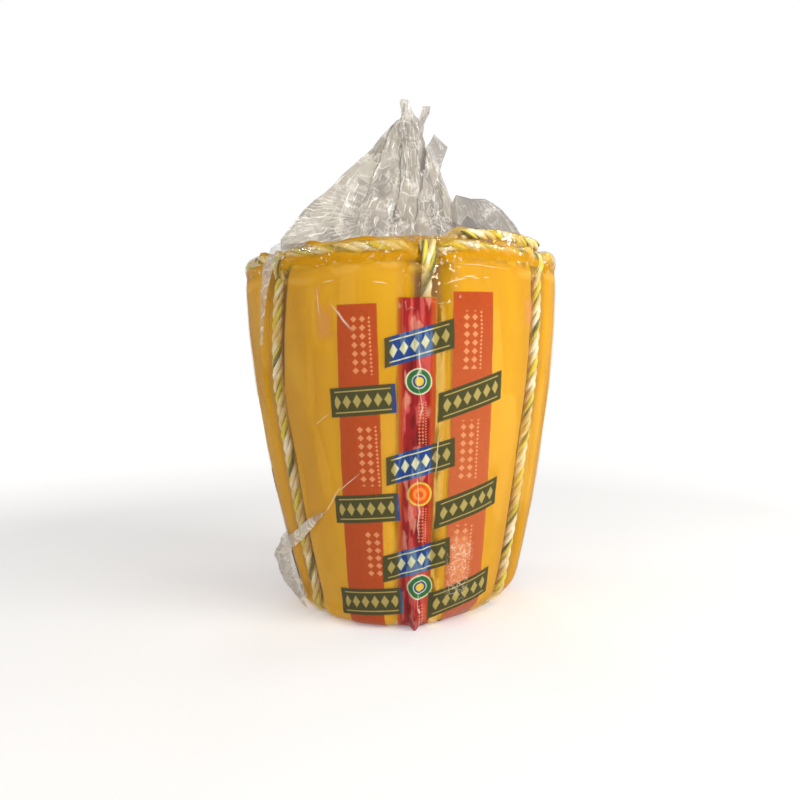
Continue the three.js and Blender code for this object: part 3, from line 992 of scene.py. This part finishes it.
# Paler print towards the lower right is a painted sheen; the patch there is paler wrinkled film.
lower_right_sheen_and_patch = turned.beyond(14.0, 6.0) * height.within(0.155, 0.10) * 0.22
lower_right_sheen_and_patch = lower_right_sheen_and_patch.most(patch * 0.75)
ink = deep.tinted(lower_right_sheen_and_patch.tinted(ORANGE_RED, PALE_ORANGE), strip_ink_light_and_shade)
ink = (marks * bands).tinted(ink, PALE_ORANGE)
ink = green_disc.tinted(ink, ringed(green_away, ROUNDEL_PALE, GREEN_RINGS))
ink = red_disc.tinted(ink, ringed(red_away, ROUNDEL_YELLOW, RED_RINGS))
blue_part = turned.inside(-3.5, 9.6, 1.6) * centre_bars.most(left_bars)
# Pale blue along the wrinkles of the strip is a painted highlight on the blue bars.
blue_ink_and_highlights = (drawn.beyond(0.54, 0.08) * 0.6).tinted(BAR_BLUE, PALE_BLUE_HIGHLIGHT)
bar_ink = blue_part.tinted(BAR_OLIVE, blue_ink_and_highlights)
bar_ink = all_gold.tinted(bar_ink, blue_part.tinted(GOLD, ROUNDEL_PALE))
ink = all_bars.tinted(ink, bar_ink)


def crease(first, second, width):
    """A fine pale fold between two points, each an angle and a height, as a mask; partly whitened film and
    partly a painted highlight.
    """
    middle = ((first[0] + second[0]) / 2, (first[1] + second[1]) / 2)
    across = wall_radius(middle[1]) * math.radians(second[0] - first[0]) / 2
    up = (second[1] - first[1]) / 2
    half = math.hypot(across, up)
    run = run_from(middle[0], turned)
    rise = height - middle[1]
    along = (run * across + rise * up) / half
    off = (rise * across - run * up) / half + bend * 0.004
    return off.line(width) * along.inside(-half, half, half)


# Pale folds in the film: some are whitened creases, and the short dashes along the shoulders and near the
# front groove are painted highlights.
CREASES = (
    ((-21.8, 0.1990), (-16.3, 0.1864), 0.0010),
    ((-27.2, 0.2080), (-26.4, 0.1920), 0.0007),
    ((-24.5, 0.2120), (-21.0, 0.2125), 0.0006),
    ((-33.0, 0.0736), (-25.0, 0.0900), 0.0008),
    ((-25.6, 0.0880), (-17.9, 0.0981), 0.0004),
    ((-31.8, 0.1290), (-26.0, 0.1350), 0.0004),
    ((11.9, 0.1240), (11.4, 0.0980), 0.0005),
    ((14.6, 0.2098), (20.6, 0.2128), 0.0008),
    ((19.8, 0.2136), (23.4, 0.2134), 0.0009),
    ((22.8, 0.2124), (24.6, 0.2122), 0.0006),
    ((26.6, 0.2126), (28.4, 0.2128), 0.0007),
    ((18.0, 0.2212), (34.0, 0.2190), 0.0004),
    ((-8.5, 0.2110), (-4.0, 0.2096), 0.0007),
)
bend = place.cloud(34.0) - 0.5
folds = greatest([crease(*fold) for fold in CREASES])
crackle = place.stretched((1.0, 1.0, 0.8)).cloud(250.0, 3.0, 0.6)
crackle = (crackle - 0.5).line(0.030) * patch * place.cloud(70.0).beyond(0.40, 0.2)
fold_highlights_and_crackle = folds.most(crackle)

# Slack film bridges the grooves, and over the twine it is crumpled, golden and brighter in its gloss, with
# painted glints.
bridged = start.node("Attribute", {"attribute_name": "bridged"}, None, "Fac")
# Soft pale bands and a pale band along the shoulders are painted reflections; the same pale colour also tints
# real slack film at the hem and in the front gap.
painted_reflection_bands = place.drawn_cloud(0.22, 52.0, 1.0, (0.2, 0.0, 0.1)).beyond(0.57, 0.10) * 0.17
shoulder = (height + (place.cloud(24.0, 1.0) - 0.5) * 0.012).inside(0.2135, 0.2205, 0.006)
shoulder = shoulder * place.cloud(38.0, 1.0).beyond(0.50, 0.16) * 0.24
hem = height.within(0.010, 0.010) * place.cloud(130.0, 3.0).beyond(0.53, 0.10) * 0.35
smear = front_turn.inside(-27.5, -22.0, 2.0) * height.inside(0.180, 0.216, 0.006)
smear = smear * place.drawn_cloud(0.45, 75.0, 3.0).beyond(0.42, 0.14)
bunch = front_turn.inside(45.5, 50.0, 2.0) * height.inside(0.186, 0.203, 0.006)
smear = smear.most(bunch) * 0.36
wander = place.drawn_cloud(0.45, 85.0)
# A pale wandering line down the red strip is a painted highlight over the cord beneath.
spine_highlight = (run_from(5.0, turned) + (wander - 0.5) * 0.014).line(0.0007) * deep
spine_highlight = spine_highlight * place.drawn_cloud(0.4, 130.0, 1.0).beyond(0.56, 0.08)
tangle = turned.inside(11.0, 26.0, 5.0) * height.inside(0.228, 0.248, 0.004)
streaks = place.drawn_cloud(0.06, 110.0).beyond(0.56, 0.14) * bridged
ribs = turned.inside(9.6, 14.0, 1.2) * place.drawn_cloud(0.10, 150.0).beyond(0.44, 0.08) * 0.60
ribs = ribs * bridged * height.within(0.195, 0.01)
rim_height = height + (place.cloud(55.0, 1.0) - 0.5) * 0.009
amber = rim_height.inside(0.2235, 0.2294, 0.0022) * 0.55
tied = one_turn.inside(2.0, 9.5, 2.0) * height.inside(0.2300, 0.2500, 0.004)
tied = tied * place.cloud(90.0, 1.0).beyond(0.36, 0.16)
amber = amber.most(tied * 0.55)
rim = height.inside(0.2215, 0.2450, 0.004)
knotted = one_turn.inside(0.0, 18.0, 5.0) * height.inside(0.197, 0.245, 0.006)
slack = rim.most(knotted)
golden = place.cloud(85.0, 1.0).beyond(0.53, 0.20) * rim
ridges = (place.cloud(120.0) - 0.5).line(0.09)
soft = painted_reflection_bands.most(shoulder, smear, hem, ribs)
haze = (streaks * 0.12).most(golden * 0.38, amber)
haze_colour = (amber * 2.0).math("MINIMUM", 1.0).tinted(FILM_GOLD, FILM_AMBER)
soft_colour = smear.beyond(0.1, 0.1).tinted(FILM_SHEEN_AND_HAZE, FILM_SMEAR)
haze_colour = (soft - haze).beyond(0.0, 0.05).tinted(haze_colour, soft_colour)
haze = haze.most(soft)
# White blobs and threads over the twine are painted glints.
clusters = place.cloud(58.0, 1.0).beyond(0.53 - tangle * 0.10, 0.05)
glints = place.cloud(260.0, 1.0).beyond(0.648, 0.03) * clusters * slack
threads = ridges.beyond(0.76, 0.2) * place.cloud(150.0, 1.0).beyond(0.60 - tangle * 0.06, 0.04) * slack
glints = glints.most(threads * 0.6)
solid = (fold_highlights_and_crackle * 0.8).most(glints * 0.8, spine_highlight * 0.7)
matt = haze.most(cover, solid)
colour = (matt * 12.0).math("MINIMUM", 1.0).tinted(FILM_MIRROR, haze_colour)
colour = cover.tinted(colour, ink)
colour = solid.tinted(colour, FILM_GLINT)
wrinkles = place.drawn_cloud(0.35, 42.0)
pleats = drawn * (deep * 0.9 + 0.1)
normal = pleats.raised(0.9, 0.0026, wrinkles.raised(0.5, 0.0020))
normal = ridges.raised(0.25, 0.0008, normal)
facing = start.node("LayerWeight", None, {"Blend": 0.3}, "Facing")
clear = facing * 0.14 + 0.05 + slack * 0.12
surface(
    start,
    Base_Color=colour,
    Metallic=matt.within(0.1, 0.2),
    Roughness=matt * 0.22 + 0.08,
    Specular_IOR_Level=0.3,
    Alpha=(clear + haze * 0.9).most(cover * 0.95, solid),
    Coat_Weight=cover * 0.6,
    Coat_IOR=1.5,
    Coat_Roughness=0.05,
    Normal=normal,
)
make_piece(skin_shape, "clinging_film", [printed_film])


# ---- Loose film ----
# The bag's empty top stands above the cheese as a crumpled fin with two twisted tips and a side pocket.
# It is the same clear film, greyed by its many folds, with a flap of seam and one loose lower corner; it
# carries painted shade towards its right and a faint glow of its own.

FIN_OUTLINE = (
    (-0.0765, 0.246), (-0.070, 0.256), (-0.0625, 0.267), (-0.056, 0.2745), (-0.047, 0.283), (-0.039, 0.2935),
    (-0.027, 0.3065), (-0.019, 0.315), (-0.011, 0.3265), (0.0, 0.340), (0.008, 0.343), (0.0155, 0.343),
    (0.018, 0.332), (0.022, 0.318), (0.0295, 0.3045), (0.0325, 0.294), (0.0385, 0.284), (0.041, 0.269),
    (0.043, 0.250),
)
FIN_FOOT = 0.244
FIN_FOOT_HALF = 0.028
FIN_RIDGE = 0.0016
POCKET_OUTLINE = (
    (0.030, 0.250), (0.036, 0.276), (0.042, 0.2875), (0.053, 0.285), (0.0635, 0.2855), (0.0705, 0.282),
    (0.0765, 0.278), (0.0865, 0.267), (0.0915, 0.259), (0.094, 0.249),
)
POCKET_FOOT_HALF = 0.020
POCKET_RIDGE = 0.004

TIP = (0.008, 0.362)
FAN_APEX = (-0.008, 0.267)

FACET_SCALE = 95.0

FILM_SHADED = tint(150, 141, 129)
FILM_PALE = tint(205, 199, 186)
FILM_DIM = tint(108, 100, 94)
FILM_CREASE_HIGHLIGHT = tint(248, 245, 236)

loose_film, start = new_finish("loose_film")
place = start.node("TexCoord", None, None, "Object")
right, back, height = place.axes()
aside = right - TIP[0]
below = TIP[1] - height
turn = aside.math("ARCTAN2", below)
reach = (aside * aside + below * below).math("SQRT")
fan = start.node("CombineXYZ", None, {0: turn * 7.0, 1: reach * 9.0, 2: back * 20.0})
sway = place.cloud(30.0)
kinks = place.cloud(95.0, 1.0)
low_left = (right * -20.0 - 0.1).clamped() * height.within(0.282, 0.04)
side_run = right - FAN_APEX[0]
side_rise = height - FAN_APEX[1]
side_turn = side_rise.math("ARCTAN2", side_run * -1.0)
side_reach = (side_run * side_run + side_rise * side_rise).math("SQRT")


def hairlines(vector, scale, width):
    """Thin wandering lines, where a cloud crosses its middle value."""
    return (vector.cloud(scale, 2.0, 0.55) - 0.5).line(width)


def fan_strokes(turned, run, count, width, share, seed):
    """Fine broken folds that fan out from one point of the film, as pale painted highlight strokes."""
    cell = (turned * count + sway * 3.4 + kinks * 1.5 + seed).math("FRACT")
    dash = start.node("CombineXYZ", None, {0: turned * count * 0.8 + seed, 1: run * 75.0, 2: back * 20.0})
    return (cell - 0.5).line(width) * dash.cloud(1.0, 1.0).beyond(share, 0.07)


warp = place.node("TexNoise", None, {"Vector": place, "Scale": 26.0, "Detail": 1.0}, "Color")
swept = place.node("VectorMath", {"operation": "MULTIPLY_ADD"}, {0: warp, 1: (0.022, 0.022, 0.022), 2: place})
shards = swept.stretched((1.0, 0.6, 0.6))
facets = shards.node("TexVoronoi", {"feature": "F1"}, {"Vector": shards, "Scale": FACET_SCALE})
facet_tone = facets.other("Color").axes()[0]
edges = shards.creases(FACET_SCALE).line(0.026)
edges = edges * place.cloud(105.0, 1.0).beyond(0.56, 0.07)
strokes = fan_strokes(turn, reach, 17.0, 0.13, 0.57, 0.0)
strokes = strokes.most(fan_strokes(turn, reach, 31.0, 0.15, 0.58, 4.0) * 0.8)
strokes = strokes * (1.0 - low_left * 0.7) * (1.0 - right.beyond(0.020, 0.012) * 0.75)
combed = fan_strokes(side_turn, side_reach, 9.0, 0.14, 0.48, 2.0)
combed = combed.most(fan_strokes(side_turn, side_reach, 17.0, 0.18, 0.50, 7.0) * 0.9) * low_left
flecks = hairlines(swept, 240.0, 0.09) * place.cloud(70.0, 1.0).beyond(0.57, 0.08)
lines = strokes.most(combed, edges * 0.7, flecks * 0.5)
lines = lines.most(hairlines(fan, 2.6, 0.010) * sway.beyond(0.50, 0.10) * 0.7)
lines = lines * (1.0 - right.beyond(0.044, 0.012) * 0.35)
# Painted shade: the film is paler on its left and darker towards its right.
shade = (right * -8.0 + 0.35).clamped()
layers = fan.cloud(1.6, 3.0)
low = right.inside(-0.024, 0.004, 0.014) * height.within(0.268, 0.012) * place.cloud(60.0)
# The pocket on the right is darkened further as painted shade; other darker patches follow the layers of
# film.
dim = layers.beyond(0.56, 0.14) * 0.26 + low * 0.9 + right.beyond(0.044, 0.012)
dim = dim + height.beyond(0.336, 0.01) * 0.3
colour = shade.tinted(FILM_SHADED, FILM_PALE)
colour = dim.tinted(colour, FILM_DIM)
# Facets are painted darker and paler in turn, as painted shading of their slopes.
colour = (facet_tone.beyond(0.55, 0.45) * 0.38).tinted(colour, FILM_DIM)
colour = (facet_tone.beyond(0.45, 0.2) * -0.25 + 0.25).tinted(colour, FILM_PALE)
# Pale strokes and flecks along the folds are painted highlights.
colour = (lines * 0.75).tinted(colour, FILM_CREASE_HIGHLIGHT)
thin = start.node("Attribute", {"attribute_name": "thin"}, None, "Fac")
dimples = place.cloud(120.0)
normal = facets.raised(0.45, 0.0008, dimples.raised(0.3, 0.0009))
facing = start.node("LayerWeight", None, {"Blend": 0.4}, "Facing")
gathered = height.beyond(0.32, 0.05) * 0.15
body = (facing * 0.2 + layers * 0.2 + 0.60 + gathered) * (1.0 - thin * 0.45)
# The faint emission in the film's own colour is a painted glow that lifts the shade inside its folds.
surface(
    start,
    Base_Color=colour,
    Roughness=0.30 - lines * 0.12,
    Alpha=(body + lines * 0.35).math("MINIMUM", 0.98),
    Coat_Weight=0.35,
    Coat_IOR=1.6,
    Coat_Roughness=0.12,
    Emission_Color=colour,
    Emission_Strength=0.10,
    Normal=normal,
)


def along_outline(outline, share):
    """The point of an outline at one share of its length."""
    marks = running_lengths(outline)
    part, run = place_along(marks, marks[-1] * held(share))
    before, after = outline[part], outline[part + 1]
    return blend(before[0], after[0], run), blend(before[1], after[1], run)


def film_line(x):
    """The line across the dome that the loose film stands on."""
    return 0.6 * x - 1.5 * x * x if x < 0 else 0.28 * x


def gathers(spot, count, seed):
    """Folds that fan out from the twisted tip, deeper the farther they are from it."""
    turn = math.atan2(spot.x - TIP[0], TIP[1] - spot.z)
    reach = math.hypot(spot.x - TIP[0], TIP[1] - spot.z)
    drift = 0.9 * noise.noise(spot * 22.0 + Vector((seed, 0.0, 0.0)))
    fold = triangle_wave(turn * count / math.pi + drift + seed * 0.31) - 0.5
    return fold * min(1.0, reach / 0.05)


def curtain(outline, foot_half, ridge, rough, seed):
    """The two walls of a standing part of the film, from the dome to its outline and down again."""

    def corner(across, up):
        share = 1.0 - abs(2.0 * up - 1.0)
        face = -1.0 if up < 0.5 else 1.0
        x, top = along_outline(outline, across)
        swell = math.sqrt(max(0.0, math.sin(math.pi * held(across))))
        half = swell * blend(foot_half, ridge, math.sqrt(share))
        y = film_line(x) + face * half
        foot = dome_height(min(0.1, math.hypot(x, y))) - 0.0005
        spot = Vector((x, y, blend(foot, top, share)))
        inner = min(1.0, share * 5.0) * min(1.0, (1.0 - share) * 6.0 + 0.2)
        away = gathers(spot, 13.0, seed) * 0.0026 * rough * min(1.0, max(0.35, 1.0 + x * 14.0))
        away += crumple(spot, 0.019, seed) * 0.0060 * rough
        away += crumple(spot, 0.0085, seed + 2.0) * 0.0018 * rough
        lean = Vector((0.3 * math.sin(70.0 * spot.z + seed), 1.0, 0.0))
        return spot + lean * away * inner * swell

    return corner


crown_shape = bmesh.new()
add_grid(crown_shape, 190, 200, curtain(FIN_OUTLINE, FIN_FOOT_HALF, FIN_RIDGE, 1.0, 1.0))
add_grid(crown_shape, 90, 120, curtain(POCKET_OUTLINE, POCKET_FOOT_HALF, POCKET_RIDGE, 0.35, 2.0))


def fin_front(x, z):
    """How far forward the front wall of the fin stands at one place of its outline."""
    lefts = [spot[0] for spot in FIN_OUTLINE]
    part, run = place_along(lefts, x)
    top = blend(FIN_OUTLINE[part][1], FIN_OUTLINE[part + 1][1], held(run))
    across = held((x - lefts[0]) / (lefts[-1] - lefts[0]))
    swell = math.sqrt(max(0.0, math.sin(math.pi * across)))
    share = held((z - FIN_FOOT) / max(0.004, top - FIN_FOOT))
    return film_line(x) - swell * blend(FIN_FOOT_HALF, FIN_RIDGE, math.sqrt(share))


# Sheets that lie in front of the fin: left and right edges, how far they stand off, roughness and seed.
SHEETS = (
    (((-0.0765, 0.2410), (-0.0560, 0.2735), (-0.0385, 0.2925), (-0.0190, 0.3140)),
     ((-0.0300, 0.2450), (-0.0180, 0.2750), (-0.0100, 0.3000), (-0.0040, 0.3230)), 0.0012, 1.0, 11.0),
    (((-0.0340, 0.2450), (-0.0220, 0.2800), (-0.0120, 0.3100), (-0.0010, 0.3380)),
     ((0.0060, 0.2460), (0.0050, 0.2800), (0.0090, 0.3100), (0.0125, 0.3400)), 0.0022, 0.9, 12.0),
    (((-0.0080, 0.2460), (0.0020, 0.2900), (0.0030, 0.3250)),
     ((0.0120, 0.2460), (0.0160, 0.2800), (0.0150, 0.3300)), 0.0036, 0.9, 13.0),
    (((0.0140, 0.2460), (0.0200, 0.2750), (0.0230, 0.3050)),
     ((0.0425, 0.2460), (0.0410, 0.2690), (0.0385, 0.2840), (0.0295, 0.3045)), 0.0024, 0.25, 14.0),
    (((0.0090, 0.2480), (0.0155, 0.2847), (0.0198, 0.3074), (0.0214, 0.3200), (0.0266, 0.3292)),
     ((0.0180, 0.2480), (0.0240, 0.2840), (0.0284, 0.2974), (0.0325, 0.3100), (0.0360, 0.3205)),
     0.0060, 0.4, 15.0),
    (((-0.0060, 0.3180), (-0.0010, 0.3326), (0.0035, 0.3410), (0.0036, 0.3452), (0.0027, 0.3515),
      (0.0040, 0.3538)),
     ((0.0140, 0.3180), (0.0160, 0.3300), (0.0140, 0.3395), (0.0124, 0.3430), (0.0114, 0.3464),
      (0.0088, 0.3534)),
     0.0030, 0.3, 16.0),
    (((0.0040, 0.2900), (0.0120, 0.3220), (0.0155, 0.3380), (0.0169, 0.3427), (0.0183, 0.3503)),
     ((0.0150, 0.2900), (0.0168, 0.3220), (0.0197, 0.3364), (0.0237, 0.3452), (0.0246, 0.3508)),
     0.0015, 0.3, 17.0),
)


def loose_sheet(left, right, stand, rough, seed):
    def corner(across, up):
        left_x, left_z = along_outline(left, up)
        right_x, right_z = along_outline(right, up)
        x, z = blend(left_x, right_x, across), blend(left_z, right_z, across)
        edge = 4.0 * across * (1.0 - across)
        ragged = 0.0016 * noise.noise(Vector((x * 90.0, z * 90.0, seed))) * (1.0 - edge)
        y = fin_front(x, z) - stand * min(1.0, up * 6.0) - 0.0018 * edge * (1.0 - up)
        spot = Vector((x + ragged, y, z))
        away = gathers(spot, 15.0, seed) * 0.0022 + crumple(spot, 0.016, seed) * 0.0055
        away += crumple(spot, 0.0080, seed + 2.0) * 0.0018
        return spot + Vector((0.2, 1.0, 0.0)) * away * rough * (0.25 + 0.75 * edge)

    return corner


for left, right, stand, rough, seed in SHEETS:
    add_grid(crown_shape, 36, 84, loose_sheet(left, right, stand, rough, seed))
crown = make_piece(crown_shape, "loose_top_film", [loose_film], closed=False)
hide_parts("bag_top")

SEAM_ROUTE = (
    (-40.0, 0.090, 0.2480), (-42.0, 0.098, 0.2435), (-45.0, 0.106, 0.2385), (-48.0, 0.1095, 0.2270),
    (-51.0, 0.1097, 0.2120), (-52.5, 0.1096, 0.1980), (-54.5, 0.1090, 0.1780),
)
SEAM_HALVES = (0.0100, 0.0092, 0.0085, 0.0075, 0.0060, 0.0045, 0.0022)


def along_steps(values, share):
    mark = share * (len(values) - 1)
    part = min(len(values) - 2, int(mark))
    return blend(values[part], values[part + 1], mark - part)


def seam_corner(across, up):
    """The flap of seam that hangs from the top over the shoulder."""
    angle, radius, height = (along_steps([route[axis] for route in SEAM_ROUTE], up) for axis in range(3))
    wing = 2.0 * across - 1.0
    half = along_steps(SEAM_HALVES, up) * (1.0 + 0.25 * noise.noise(Vector((up * 9.0, wing, 4.0))))
    turn = angle + math.degrees(wing * half / radius)
    spot = around(turn, radius, height)
    lift = 0.0010 * (1.0 - wing * wing) + 0.0012 * crumple(spot, 0.012, 7.0) + 0.0006 * wing
    return spot + around(angle, lift, 0.0)


def thinned(shape, share):
    """Marks every corner of the shape as thinner film, so that it shows clearer."""
    layer = shape.verts.layers.float.new("thin")
    for corner in shape.verts:
        corner[layer] = share
    return shape


seam_shape = thinned(add_grid(bmesh.new(), 14, 80, seam_corner), 1.0)
seam = make_piece(seam_shape, "seam_flap", [loose_film], closed=False)
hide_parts("bag_seam")

CORNER_ANGLES = (-86.0, -79.0, -71.0, -62.0)
CORNER_HEIGHTS = (0.044, 0.034, 0.018, 0.0065)
CORNER_STANDS = (0.003, 0.011, 0.009, 0.004)
CORNER_HALF = 0.0046


def ear_corner(across, up):
    """The loose lower corner: a crumpled tuck of film that stands off the wall."""
    angle = along_steps(CORNER_ANGLES, up)
    height = along_steps(CORNER_HEIGHTS, up)
    stand = along_steps(CORNER_STANDS, up)
    wing = 2.0 * across - 1.0
    bulge = 1.0 - abs(wing)
    spot = around(angle, wall_radius(height) + 0.0006 + stand * bulge**0.8, height + CORNER_HALF * wing)
    rough = crumple(spot, 0.0085, 9.0) * 0.0042 + crumple(spot, 0.004, 4.0) * 0.0016
    spot += around(angle, rough * min(1.0, bulge * 3.0), 0.0)
    spot.z += 0.5 * rough
    spot.z = max(0.0006, spot.z)
    return spot


ear_shape = thinned(add_grid(bmesh.new(), 40, 110, ear_corner), 0.6)
ear = make_piece(ear_shape, "loose_corner_film", [loose_film], closed=False)
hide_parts("bag_corner")

TUCK_ANGLES = (-77.0, -68.0, -60.0, -51.0, -42.0, -33.0)
TUCK_HEIGHTS = (0.0435, 0.0465, 0.0500, 0.0565, 0.0655, 0.0745)
TUCK_SLANT = 290.0
TUCK_HALVES = (0.0056, 0.0048, 0.0040, 0.0036, 0.0030, 0.0005)


def tuck_corner(across, up):
    """The slack tuck of film that runs from the loose corner over the twine and dies out on the wall."""
    angle = along_steps(TUCK_ANGLES, up)
    height = along_steps(TUCK_HEIGHTS, up)
    wing = 2.0 * across - 1.0
    half = along_steps(TUCK_HALVES, up)
    spot = around(angle - TUCK_SLANT * wing * half, wall_radius(height), height + 0.9 * half * wing)
    radius = wall_radius(spot.z) + 0.0007
    bulge = 1.0 - abs(wing)
    lift = 0.0022 * bulge**0.7 * half / 0.005 + 0.0016 * crumple(spot, 0.007, 6.0) * min(1.0, bulge * 3.0)
    return around(math.degrees(math.atan2(spot.x, -spot.y)), radius + lift, spot.z)


tuck_shape = thinned(add_grid(bmesh.new(), 24, 90, tuck_corner), 0.8)
make_piece(tuck_shape, "tuck_film", [loose_film], closed=False)


# ---- Studio ----
# A plain pale floor, a white surround, a broad soft lamp at the right and a ring of narrow ones for gloss.

FLOOR_HALF = 4.0
FLOOR_NEAR = 0.45
FLOOR_FAR = 1.55
ROOM_LIGHT = (1.0, 0.97, 0.93, 1.0)
ROOM_STRENGTH = 0.330
floor_shape = bmesh.new()
bmesh.ops.create_grid(floor_shape, x_segments=1, y_segments=1, size=FLOOR_HALF)
floor_mesh = bpy.data.meshes.new("floor")
floor_shape.to_mesh(floor_mesh)
floor_shape.free()
FLOOR_NEAR_GLOW = tint(138, 138, 140)
FLOOR_FAR_GLOW = tint(250, 250, 250)
pale_floor, start = new_finish("pale_floor")
place = start.node("TexCoord", None, None, "Object")
colour = place.cloud(3.0).tinted(tint(240, 240, 238), tint(232, 232, 230))
away = place.node("VectorMath", {"operation": "LENGTH"}, {0: place}, "Value")
glow = ((away - FLOOR_NEAR) / (FLOOR_FAR - FLOOR_NEAR)).clamped().tinted(FLOOR_NEAR_GLOW, FLOOR_FAR_GLOW)
surface(start, Base_Color=colour, Roughness=0.9, Emission_Color=glow, Emission_Strength=1.0)
floor_mesh.materials.append(pale_floor)
floor = bpy.data.objects.new("floor", floor_mesh)
bpy.context.scene.collection.objects.link(floor)
floor.visible_glossy = False

world = bpy.data.worlds.new("surround")
world.use_nodes = True
world.node_tree.nodes.clear()
start = Shade(world.node_tree)
seen = start.node("LightPath", None, None, "Is Camera Ray")
white = start.node("Background", None, {"Color": (1.0, 1.0, 1.0, 1.0), "Strength": 1.0})
room = start.node("Background", None, {"Color": ROOM_LIGHT, "Strength": ROOM_STRENGTH})
light = start.node("MixShader", None, {0: seen, 1: room, 2: white})
start.node("OutputWorld", None, {"Surface": light})
bpy.context.scene.world = world
bpy.context.scene.view_settings.view_transform = "Standard"


def add_lamp(name, place, aim, size, power):
    """A rectangular lamp at a place, turned to face a point."""
    lamp = bpy.data.lights.new(name, "AREA")
    lamp.shape = "RECTANGLE"
    lamp.size, lamp.size_y = size
    lamp.energy = power
    lamp_object = bpy.data.objects.new(name, lamp)
    lamp_object.location = place
    facing = Vector(aim) - Vector(place)
    lamp_object.rotation_euler = facing.to_track_quat("-Z", "Y").to_euler()
    bpy.context.scene.collection.objects.link(lamp_object)
    return lamp_object


MIDDLE = (0.0, 0.0, 0.16)
TUBE_AWAY = 0.95
TUBE_SIZE = (0.40, 0.022)
broad_lamp = add_lamp("broad_lamp", (1.06, -0.70, 0.52), MIDDLE, (0.7, 0.7), 11.3)
broad_lamp.visible_glossy = False
TUBES = (
    (-62.0, 0.75, 0.9), (-28.0, 1.15, 1.0), (4.0, 0.85, 1.2), (30.0, 1.05, 1.2),
    (60.0, 0.8, 1.2), (105.0, 0.9, 1.2), (-115.0, 0.9, 1.2), (180.0, 1.0, 1.4),
)
for index, (turn, height, power) in enumerate(TUBES):
    add_lamp(f"tube_lamp_{index + 1}", tuple(around(turn, TUBE_AWAY, height)), MIDDLE, TUBE_SIZE, power)
